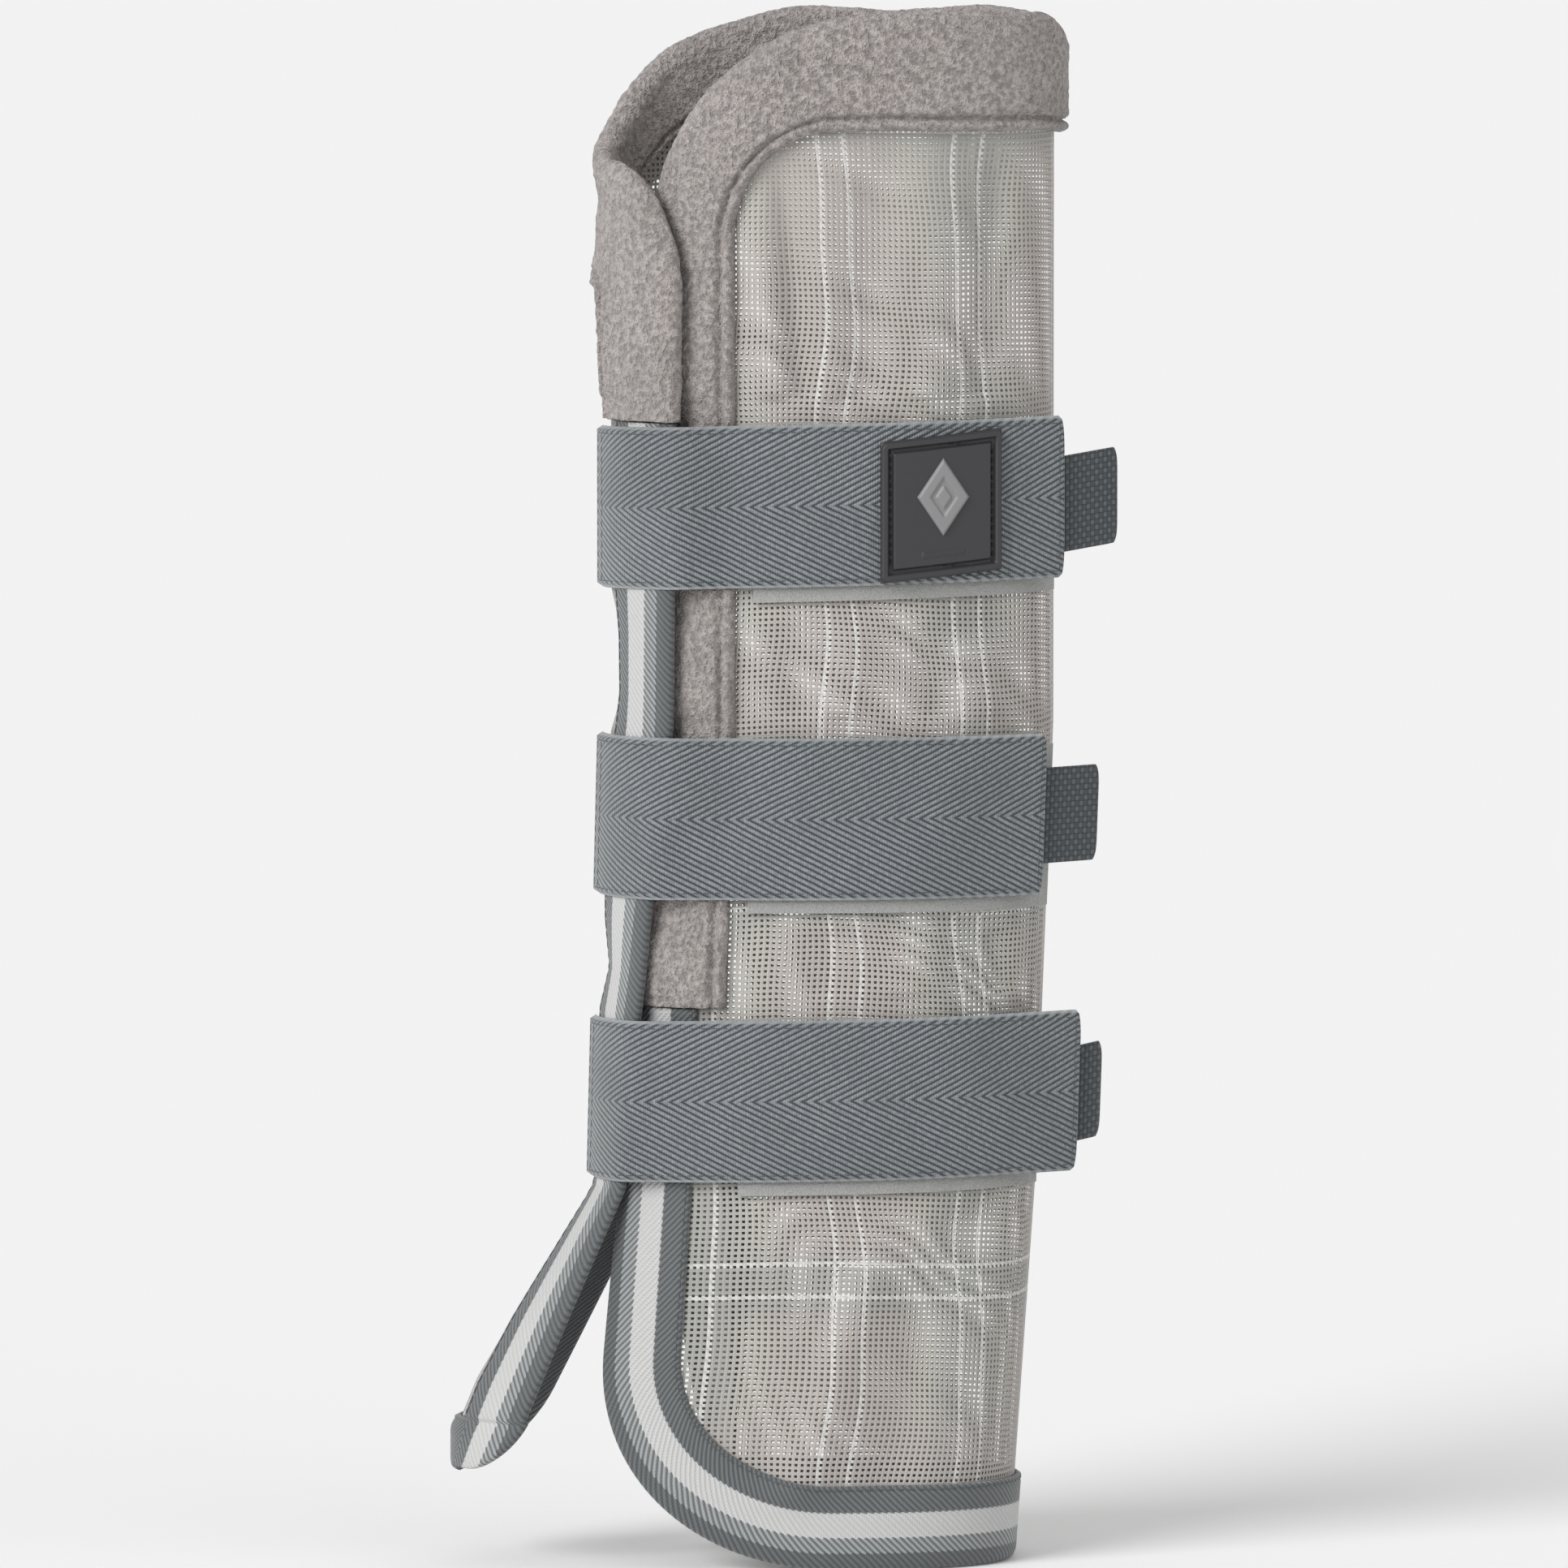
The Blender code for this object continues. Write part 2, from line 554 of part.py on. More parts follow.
def make_flap_hem(flap):
    """The hem along the sprung corner's foot, round its heel and up its back edge."""
    first, pinch = tail_reach() - TAIL_TIP[0] - GAP, tip_pinch()
    lean = Vector((pinch[0] - first, pinch[1] - TAIL_FOOT)).normalized()
    upright = Vector((0.0, 1.0))
    rings = []
    for share in spread(0.0, 1.0, TIP_ROWS):
        along = first - HEM_WIDTH * share
        run = lean.lerp(upright, share).normalized() * HEM_WIDTH
        rings.append(((along, TAIL_FOOT), (along + run.x, TAIL_FOOT + run.y)))
    heel = TAIL_BACK - TAIL_HEEL[0]
    straight = spaced(first - HEM_WIDTH, -heel, COLUMN / 2)[1:]
    rings += [((d, TAIL_FOOT), (d, TAIL_FOOT + HEM_WIDTH)) for d in straight]
    heel_top = TAIL_FOOT + TAIL_HEEL[1]
    turned = corner_rings((heel, heel_top), TAIL_HEEL, HEM_WIDTH, 0.0, pi / 2, HEEL_STEPS, -1)
    rings += [((-edge[0], edge[1]), (-border[0], border[1])) for edge, border in turned[1:]]
    rises = spread(heel_top, TAIL_TOP - GAP / 2, TIP_ROWS)[1:]
    rings += [((-TAIL_BACK, z), (HEM_WIDTH - TAIL_BACK, z)) for z in rises]
    folded_band("flap_hem", "tape", "flap", rings, HEM_WIDTH, TAPE_DIVISIONS, flap)


def from_tip(strap, back):
    """The place this far back from a strap's tip, as a function of height."""
    beyond = LONGEST_TIP - STRAPS[strap][2] + back
    return lambda z: float(section("strap", z)[2][-1]) - beyond


def upright(u, v):
    """A square's coordinates as they are."""
    return u, v


def lozenge(u, v):
    """A square's coordinates turned and squeezed into a lozenge."""
    return (1 + u - v) / 2, (u + v) / 2


def along_strap(strap, name, kind, ends, levels, offsets, carrier, grid, shape=upright):
    """A solid that lies along a strap. Its ends are functions of height that give a distance
    from the sewn end, its levels are heights above the strap's lower edge, and its offsets are
    outwards from the strap's middle. The grid is its columns and rows."""
    low, rise, _ = STRAPS[strap]
    start, end = ends

    def place(column, row, outside):
        u, v = shape(column / grid[0], row / grid[1])
        z = low + rise * u + levels[0] + (levels[1] - levels[0]) * v
        return on_cloth("strap", start(z) * (1 - u) + end(z) * u, z, offsets[int(outside)])

    return thick_grid(name, kind, *grid, place, carrier)


def make_strap(name, hinge):
    """A strap sewn to the flap at one end."""
    ends, faces = (fixed(0.0), from_tip(name, 0.0)), (-WEBBING / 2, WEBBING / 2)
    along_strap(name, f"strap_{name}", "webbing", ends, (0.0, STRAP_WIDTH), faces, hinge, (26, 2))


def make_hook_and_tab(name, hinge):
    """The hook patch and the pull tab, which both lie under the strap's tip."""
    under = -WEBBING / 2 - GAP
    nearer = TAB_SEWN + GAP
    ends = (from_tip(name, nearer + HOOK_LENGTH), from_tip(name, nearer))
    levels = (HOOK_MARGIN, STRAP_WIDTH - HOOK_MARGIN)
    along_strap(name, f"hook_{name}", "hook", ends, levels, (under - HOOK, under), hinge, (9, 2))
    ends = (from_tip(name, TAB_SEWN), from_tip(name, -TAB_SHOWS[name]))
    levels = ((STRAP_WIDTH - TAB_WIDTH) / 2, (STRAP_WIDTH + TAB_WIDTH) / 2)
    along_strap(name, f"tab_{name}", "tab", ends, levels, (under - TAB, under), hinge, (4, 2))


def make_badge(name, hinge):
    """The rubber badge with a plain raised lozenge."""
    width, height = BADGE_SIZE
    face = WEBBING / 2 + GAP
    ends = (from_tip(name, BADGE_FROM_TIP + width), from_tip(name, BADGE_FROM_TIP))
    levels = ((STRAP_WIDTH - height) / 2, (STRAP_WIDTH + height) / 2)
    along_strap(name, "badge", "badge", ends, levels, (face, face + BADGE), hinge, (6, 2))
    middle, top = BADGE_FROM_TIP + width / 2, face + BADGE + GAP
    across, up = MOTIF_SIZE
    ends = (from_tip(name, middle + across / 2), from_tip(name, middle - across / 2))
    levels = ((STRAP_WIDTH - up) / 2, (STRAP_WIDTH + up) / 2)
    along_strap(name, "badge_motif", "motif", ends, levels, (top, top + MOTIF), hinge, (4, 4), lozenge)


def make_straps(flap):
    """Three straps sewn to the flap, each on the axis that it turns about."""
    for name, (low, _, _) in STRAPS.items():
        middle = low + STRAP_WIDTH / 2
        at = plan("strap", 0.0, middle, WEBBING / 2 + GAP)
        hinge = axis_empty(f"strap_{name}_axis", at.x, at.y, middle, flap)
        make_strap(name, hinge)
        make_hook_and_tab(name, hinge)
        if name == BADGED:
            make_badge(name, hinge)


def make_loops():
    """The soft strips on the panel that the straps close onto."""
    start, end = LOOP_ENDS
    stations = [start] + [d for d in front_stations(end) if d > start + GAP]
    for name, (low, rise, _) in STRAPS.items():

        def place(column, row, outside, low=low, rise=rise):
            distance = stations[column]
            z = low - LOOP_DROP + rise * (1 - distance / FRONT_REACH) + STRAP_WIDTH * row
            return on_cloth("front", distance, z, LOOP_MIDDLE + (LOOP / 2 if outside else -LOOP / 2))

        thick_grid(f"loop_{name}", "loop", len(stations) - 1, 1, place)


def centre_on_origin():
    """Moves the whole object so that the middle of its footprint is at the origin."""
    bpy.context.view_layer.update()
    solids = [made for made in bpy.data.objects if made.type == "MESH"]
    corners = np.array([made.matrix_world @ vert.co for made in solids for vert in made.data.vertices])
    middle = (corners.min(axis=0) + corners.max(axis=0)) / 2
    for made in bpy.data.objects:
        if made.parent is None:
            made.location -= Vector((middle[0], middle[1], 0.0))


def main():
    for old in list(bpy.data.objects):
        bpy.data.objects.remove(old)
    flap = axis_empty("flap_axis", -SIDE_AXIS, 0.0, HEIGHT / 2)
    make_front_mesh()
    make_back_mesh()
    make_flap_mesh(flap)
    make_front_bindings()
    make_back_bindings()
    make_flap_fleece(flap)
    make_flap_tape(flap)
    make_flap_hem(flap)
    make_loops()
    make_straps(flap)
    centre_on_origin()


main()
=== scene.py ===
"""A horse's fly boot: net cloth rolled round the leg, bound with fleece and striped tape.

The cloth is one ring. A place on it is a distance along the cloth, a height and an offset
outwards from the net. On the panel the distance runs from the right fold, negative along the
front and positive along the back. On the flap it runs from the left fold to the free edge,
and on a strap from its sewn end. Lengths are metres.
"""

import math
from functools import lru_cache

import bmesh
import bpy
import numpy as np
from bpy.props import FloatProperty, FloatVectorProperty, PointerProperty
from mathutils import Matrix, Vector, noise


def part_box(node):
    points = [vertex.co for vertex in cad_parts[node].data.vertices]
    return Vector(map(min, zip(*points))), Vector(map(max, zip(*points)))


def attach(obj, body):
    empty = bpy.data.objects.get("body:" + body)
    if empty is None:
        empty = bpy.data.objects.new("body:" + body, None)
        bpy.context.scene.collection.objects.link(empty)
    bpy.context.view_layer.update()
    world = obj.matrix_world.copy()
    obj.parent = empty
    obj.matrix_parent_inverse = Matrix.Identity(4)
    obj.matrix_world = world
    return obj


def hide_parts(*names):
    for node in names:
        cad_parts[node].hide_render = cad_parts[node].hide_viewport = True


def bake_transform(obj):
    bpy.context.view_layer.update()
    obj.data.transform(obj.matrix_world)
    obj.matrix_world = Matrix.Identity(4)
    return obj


bl_info = {
    "name": "Fly boot",
    "version": (1, 0, 0),
    "blender": (4, 5, 0),
    "location": "View3D > Sidebar > Fly boot",
    "description": "Makes a horse's fly boot round its packed frame",
    "category": "Add Mesh",
}

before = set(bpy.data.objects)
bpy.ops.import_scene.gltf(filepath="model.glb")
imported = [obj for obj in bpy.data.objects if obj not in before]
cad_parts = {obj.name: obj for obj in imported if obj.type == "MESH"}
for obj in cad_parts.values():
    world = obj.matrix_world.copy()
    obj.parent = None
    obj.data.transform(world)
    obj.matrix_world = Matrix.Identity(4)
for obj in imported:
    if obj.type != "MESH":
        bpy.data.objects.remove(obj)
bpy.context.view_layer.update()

# The rolled cloth, as the frame has it
HEIGHT = 0.480
LEVELS = (0.0, 0.117, 0.260, HEIGHT)
RIGHT = (0.0565, 0.0645, 0.0700, 0.0700)
FRONT_LEFT = (0.100, 0.0700, 0.0580, 0.0550)
FOLD_LEFT = (0.1345, 0.0705, 0.0670, 0.0670)
BODY_DEPTH = 0.039
FLAP_DEPTH = (0.050, 0.054, 0.047, 0.047)
FLAP_REACH = (0.040, 0.029, 0.042, 0.045)
ROUNDNESS = 2.3
FRONT_REACH = 0.152
FLEECE_WIDTH = 0.034
TAPE_WIDTH = 0.025
FLEECE_FRONT_END = 0.1735
FLEECE_FLAP_END = 0.3545
TOP_CORNER = (0.078, 0.090)
TOP_BORDER = (0.031, 0.032)
FLAP_CORNER = (0.138, 0.0856)
FLAP_SAG = (0.021, 0.030)
BOTTOM_CORNER = (0.075, 0.065)
TAIL_TOP = 0.117
TAIL_BACK = 0.036
TAIL_FOOT = 0.029
TAIL_TIP = (0.016, 0.016)
TAIL_HEEL = (0.016, 0.020)
HEM_WIDTH = 0.015
BACK_FOOT = 0.106
CUT_CURVE = 0.7
FLEECE_OVERHANG = 0.00219
TAPE_OVERHANG = 0.00089
TOP_EDGE = HEIGHT - FLEECE_OVERHANG
BOTTOM_EDGE = TAPE_OVERHANG
NET_HALF = 0.0006
NET_TUCKED = 0.006
FLEECE_FACE = 0.0035
TAPE_FACE = 0.0021

# The straps
STRAP_WIDTH = 0.050
STRAP_START = 0.003
STRAP_CLEARS_EDGE = 0.004
STRAP_LIFTS_OFF = 0.040
STRAP_ON_FLAP = 0.0035
STRAP_ON_FRONT = 0.0049
WEBBING = 0.0018
STRAPS = {
    # strap: (lower edge at the sewn end, rise to the tip, run from where it lifts off to the tip)
    "top": (0.3020, 0.0040, 0.0245),
    "middle": (0.2070, 0.0010, 0.0190),
    "bottom": (0.1190, 0.0030, 0.0340),
}
TAB_WIDTH = 0.0295
TAB_SHOWS = {"top": 0.0195, "middle": 0.0195, "bottom": 0.0090}
TAB_SEWN = 0.010
LONGEST_TIP = max(tip + TAB_SHOWS[name] for name, (_, _, tip) in STRAPS.items())
BADGE_SIZE = (0.038, 0.0435)
BADGE_FROM_TIP = 0.022
BADGE_FACE = WEBBING / 2 + 0.0005
MOTIF_SIZE = (0.016, 0.024)

# Soft folds in the net: (distance at the top, at the foot, top height, foot height, width, depth)
FOLDS = (
    (-0.112, -0.104, 0.425, 0.352, 0.006, 0.0022),
    (-0.104, -0.096, 0.440, 0.352, 0.005, -0.0030),
    (-0.090, -0.088, 0.440, 0.352, 0.007, 0.0016),
    (-0.074, -0.078, 0.440, 0.352, 0.007, -0.0024),
    (-0.050, -0.058, 0.440, 0.352, 0.008, 0.0018),
    (-0.034, -0.042, 0.440, 0.352, 0.006, -0.0020),
    (-0.104, -0.096, 0.300, 0.257, 0.006, -0.0016),
    (-0.080, -0.086, 0.300, 0.257, 0.006, 0.0016),
    (-0.060, -0.052, 0.300, 0.257, 0.007, -0.0022),
    (-0.036, -0.040, 0.300, 0.257, 0.007, 0.0008),
    (-0.090, -0.084, 0.206, 0.170, 0.007, -0.0014),
    (-0.058, -0.064, 0.206, 0.170, 0.008, 0.0014),
    (-0.034, -0.030, 0.206, 0.170, 0.006, -0.0014),
    (-0.066, -0.088, 0.112, 0.020, 0.008, 0.0022),
    (-0.044, -0.062, 0.112, 0.020, 0.010, -0.0022),
    (-0.020, -0.034, 0.112, 0.020, 0.009, 0.0012),
    (-0.110, -0.100, 0.090, 0.024, 0.009, -0.0012),
)
# How far the left fold stands out or in: (height, distance outwards)
FOLD_SWAY = (
    (0.020, -0.0050), (0.030, -0.0030), (0.040, 0.0025), (0.055, 0.0046), (0.075, 0.0038),
    (0.095, 0.0016), (0.112, 0.0), (0.172, 0.0), (0.185, -0.0034), (0.200, -0.0006),
    (0.208, 0.0), (0.257, 0.0), (0.270, -0.0036), (0.288, -0.0030), (0.302, 0.0),
    (0.352, 0.0), (0.372, 0.0012), (0.392, 0.0026), (0.408, 0.0004), (0.422, -0.0006),
    (0.436, 0.0022), (0.452, 0.0004), (0.470, 0.0),
)

# The stage: suns are (name, direction, strength, spread in degrees)
SUNS = (
    ("key", (-0.78, -0.80, 0.55), 2.5, 36.0),
    ("fill", (0.85, -0.60, 0.35), 0.5, 60.0),
    ("back", (0.40, 0.90, 0.70), 0.4, 60.0),
)
SKY_STRENGTH = 0.45
FLOOR_RADIUS = 60.0
CAMERA_AIM = (0.0016, 0.0, 0.2405)
CAMERA_SEES = 0.4860

# Steps of the cloth tables
GRID_STEP = 0.0005
LEVEL_STEP = 0.001


def at_level(values, z):
    """A value between the heights in LEVELS."""
    return float(np.interp(z, LEVELS, values))


def half_ring(right, left, depth):
    """The section from the right fold through y = depth to the left."""
    turn = np.linspace(0, math.pi / 2, 240)
    across, deep = np.cos(turn) ** (2 / ROUNDNESS), np.sin(turn) ** (2 / ROUNDNESS)
    x = np.concatenate([right * across, -left * across[-2::-1]])
    return x, depth * np.concatenate([deep, deep[-2::-1]])


def lengths(x, y):
    """How far along a line each of its points is."""
    return np.concatenate([[0.0], np.cumsum(np.hypot(np.diff(x), np.diff(y)))])


def flap_line(z, depth):
    """A quarter of the section from the left fold towards y = depth."""
    x, y = half_ring(at_level(FOLD_LEFT, z), at_level(FOLD_LEFT, z), depth)
    half = len(x) // 2 + 1
    return -x[:half], y[:half]


def panel_line(z):
    """The panel in plan with its distances, from the front edge round the right fold to the back."""
    right = at_level(RIGHT, z)
    x_front, y_front = half_ring(right, at_level(FRONT_LEFT, z), -BODY_DEPTH)
    x_back, y_back = half_ring(right, at_level(FOLD_LEFT, z), BODY_DEPTH)
    distance = np.concatenate([-lengths(x_front, y_front)[:0:-1], lengths(x_back, y_back)])
    return distance, np.concatenate([x_front[:0:-1], x_back]), np.concatenate([y_front[:0:-1], y_back])


def whole_flap_line(z):
    """The flap in plan with its distances, from inside the fold to past its free edge."""
    x, y = flap_line(z, -at_level(FLAP_DEPTH, z))
    x_leaf, y_leaf = flap_line(z, BODY_DEPTH)
    distance = np.concatenate([-lengths(x_leaf, y_leaf)[:0:-1], lengths(x, y)])
    return distance, np.concatenate([x_leaf[:0:-1], x]), np.concatenate([y_leaf[:0:-1], y])


def stepped_off(distance, x, y, start, end, count, offset):
    """Points spaced along a line and moved outwards from it."""
    at = np.linspace(start, end, count)
    points = np.stack([np.interp(at, distance, x), np.interp(at, distance, y)], axis=1)
    run = np.gradient(points, axis=0)
    run /= np.linalg.norm(run, axis=1)[:, None]
    return points + np.stack([run[:, 1], -run[:, 0]], axis=1) * offset


def strap_line(z):
    """The middle of a strap: over the flap, onto the front, then straight off it."""
    reach = at_level(FLAP_REACH, z)
    flap = stepped_off(*whole_flap_line(z), STRAP_START, reach + STRAP_CLEARS_EDGE, 40, STRAP_ON_FLAP)
    front = stepped_off(*panel_line(z), -(FRONT_REACH - FLEECE_WIDTH), -STRAP_LIFTS_OFF, 60, STRAP_ON_FRONT)
    run = front[-1] - front[-2]
    tip = front[-1] + run / np.linalg.norm(run) * LONGEST_TIP
    points = np.concatenate([flap, front, [tip]])
    return lengths(points[:, 0], points[:, 1]), points[:, 0], points[:, 1]


LINES = {
    # region: (line, lowest distance, highest distance, how far a bend is eased)
    "panel": (panel_line, -0.175, 0.200, 0.0),
    "flap": (whole_flap_line, -0.045, 0.060, 0.0),
    "strap": (strap_line, -0.004, 0.200, 0.004),
}


@lru_cache(maxsize=None)
def cloth_table(region):
    """A region's place in plan on a grid of heights and distances."""
    line, low, high, ease = LINES[region]
    heights = np.arange(-0.006, 0.492, LEVEL_STEP)
    along = np.arange(low, high, GRID_STEP)
    places = np.zeros((len(heights), len(along), 2))
    for i, z in enumerate(heights):
        distance, x, y = line(z)
        for k, values in enumerate((x, y)):
            first_run = (values[1] - values[0]) / (distance[1] - distance[0])
            last_run = (values[-1] - values[-2]) / (distance[-1] - distance[-2])
            before = values[0] + (along - distance[0]) * first_run
            after = values[-1] + (along - distance[-1]) * last_run
            within = np.interp(along, distance, values)
            upto_end = np.where(along > distance[-1], after, within)
            places[i, :, k] = np.where(along < distance[0], before, upto_end)
    if ease:
        places = eased(places, int(ease / GRID_STEP))
    run = np.gradient(places, axis=1)
    run /= np.linalg.norm(run, axis=2)[:, :, None]
    run = eased(run, 2)
    return low, heights[0], places, run


def eased(values, reach):
    """Values averaged with their neighbours along the cloth; the ends stay."""
    padded = np.pad(values, ((0, 0), (reach, reach), (0, 0)), mode="reflect", reflect_type="odd")
    return sum(padded[:, k:k + values.shape[1]] for k in range(2 * reach + 1)) / (2 * reach + 1)


def looked_up(values, row, column):
    """A grid's values between its points."""
    row = np.clip(row, 0, values.shape[0] - 1.001)
    column = np.clip(column, 0, values.shape[1] - 1.001)
    i, j = row.astype(int), column.astype(int)
    a, b = (row - i)[:, None], (column - j)[:, None]
    low = values[i, j] * (1 - b) + values[i, j + 1] * b
    high = values[i + 1, j] * (1 - b) + values[i + 1, j + 1] * b
    return low * (1 - a) + high * a


def ramp(values, low, high):
    """0 below low and 1 above high, smooth between."""
    t = np.clip((values - low) / (high - low), 0, 1)
    return t * t * (3 - 2 * t)


def between_straps(z, margin=0.004):
    """1 where no strap lies on the cloth and 0 under the straps."""
    clear = np.ones_like(z)
    for low, rise, _ in STRAPS.values():
        low, high = low - 2 * margin, low + STRAP_WIDTH + rise + margin
        clear *= 1 - ramp(z, low - margin, low) * (1 - ramp(z, high, high + margin))
    return clear


def sway(region, distance, z):
    """How far the soft cloth stands out from the frame's plain shape."""
    if region == "strap":
        return np.zeros_like(z)
    heights, amounts = zip(*FOLD_SWAY)
    fold = np.interp(z, heights, amounts)
    if region == "flap":
        return fold * np.exp(-((distance / 0.020) ** 2))
    out = fold * np.exp(-(((distance - back_reach(z)) / 0.020) ** 2))
    clear = between_straps(z)
    for top, foot, high, low, width, depth in FOLDS:
        share = np.clip((high - z) / (high - low), 0, 1)
        ends = ramp(z, low - 0.004, low + 0.008) * (1 - ramp(z, high - 0.020, high + 0.004))
        out += depth * ends * clear * np.exp(-(((distance - top - (foot - top) * share) / width) ** 2))
    return out


@lru_cache(maxsize=None)
def back_reaches():
    heights = np.arange(-0.006, 0.492, LEVEL_STEP)
    return heights, np.array([panel_line(z)[0][-1] for z in heights])


def back_reach(z):
    """Cloth from the right fold to the left fold along the back."""
    return np.interp(z, *back_reaches())


def flap_reach(z):
    """Cloth from the left fold to the flap's free edge."""
    return np.interp(z, LEVELS, FLAP_REACH)


def shift():
    """Where the frame put the section's middle."""
    low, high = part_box("mesh_front")
    return high.x - NET_HALF - max(RIGHT), low.y + NET_HALF + BODY_DEPTH


SHIFT = shift()


def wrapped(region, distance, z, offset):
    """Points in space, from distances, heights and offsets."""
    low, bottom, places, runs = cloth_table(region)
    row, column = (z - bottom) / LEVEL_STEP, (distance - low) / GRID_STEP
    place, run = looked_up(places, row, column), looked_up(runs, row, column)
    run /= np.linalg.norm(run, axis=1)[:, None]
    out = offset + sway(region, distance, z)
    x = place[:, 0] + run[:, 1] * out + SHIFT[0]
    y = place[:, 1] - run[:, 0] * out + SHIFT[1]
    return np.stack([x, y, z], axis=1)


# Edges of the cloth, as heights along it


def corner_drop(distance, start, size):
    """How far an edge has dropped round an elliptical corner."""
    across, down = size
    share = np.clip((distance - start) / across, 0, 1)
    return down * (1 - np.sqrt(1 - share * share))


def inside(size, inset):
    """A corner's size once it is moved inwards."""
    return size[0] - inset, size[1] - inset


def rim_sag(distance):
    """The soft rim sags where it turns round the right fold."""
    return 0.0060 * np.exp(-((distance / 0.013) ** 2)) + 0.0008 * np.sin(distance * 2 * math.pi / 0.055)


def fold_sag(distance):
    """The rim dips at the left fold; the distance is from the fold."""
    depth, width = FLAP_SAG
    return depth * np.exp(-((distance / width) ** 2))


def front_top(distance, inset=0.0):
    """The front's upper edge; the distance is counted towards its free edge."""
    start = FRONT_REACH - TOP_CORNER[0]
    return TOP_EDGE - inset - corner_drop(distance, start, inside(TOP_CORNER, inset))


def front_bottom(distance, inset=0.0):
    """The front's lower edge."""
    start = FRONT_REACH - BOTTOM_CORNER[0]
    return BOTTOM_EDGE + inset + corner_drop(distance, start, inside(BOTTOM_CORNER, inset))


def flap_corner_start():
    return back_reach(HEIGHT) + flap_reach(HEIGHT) - FLAP_CORNER[0]


def flap_top(distance, inset=0.0):
    """The upper edge of the back and the flap, by distance from the right fold."""
    drop = corner_drop(distance, flap_corner_start(), inside(FLAP_CORNER, inset))
    return TOP_EDGE - inset - drop - fold_sag(distance - back_reach(HEIGHT))


def back_cut(z):
    """Cloth from the right fold to the back's lower left edge, which slants up to the tail."""
    high = back_reach(TAIL_TOP) - TAIL_BACK - 2 * TAPE_OVERHANG - NET_HALF
    rise = np.clip((z - BOTTOM_EDGE) / (TAIL_TOP - BOTTOM_EDGE), 0, 1)
    return BACK_FOOT + (high - BACK_FOOT) * rise**CUT_CURVE


def tail_foot(distance, inset=0.0):
    """The sprung corner's lower edge."""
    reach = float(flap_reach(TAIL_FOOT))
    tip = corner_drop(distance, reach - TAIL_TIP[0], inside(TAIL_TIP, inset))
    heel = corner_drop(-distance, TAIL_BACK - TAIL_HEEL[0], inside(TAIL_HEEL, inset))
    return TAIL_FOOT + inset + tip + heel


# Material graphs


def darker(colour, share):
    return tuple(part * share for part in colour)


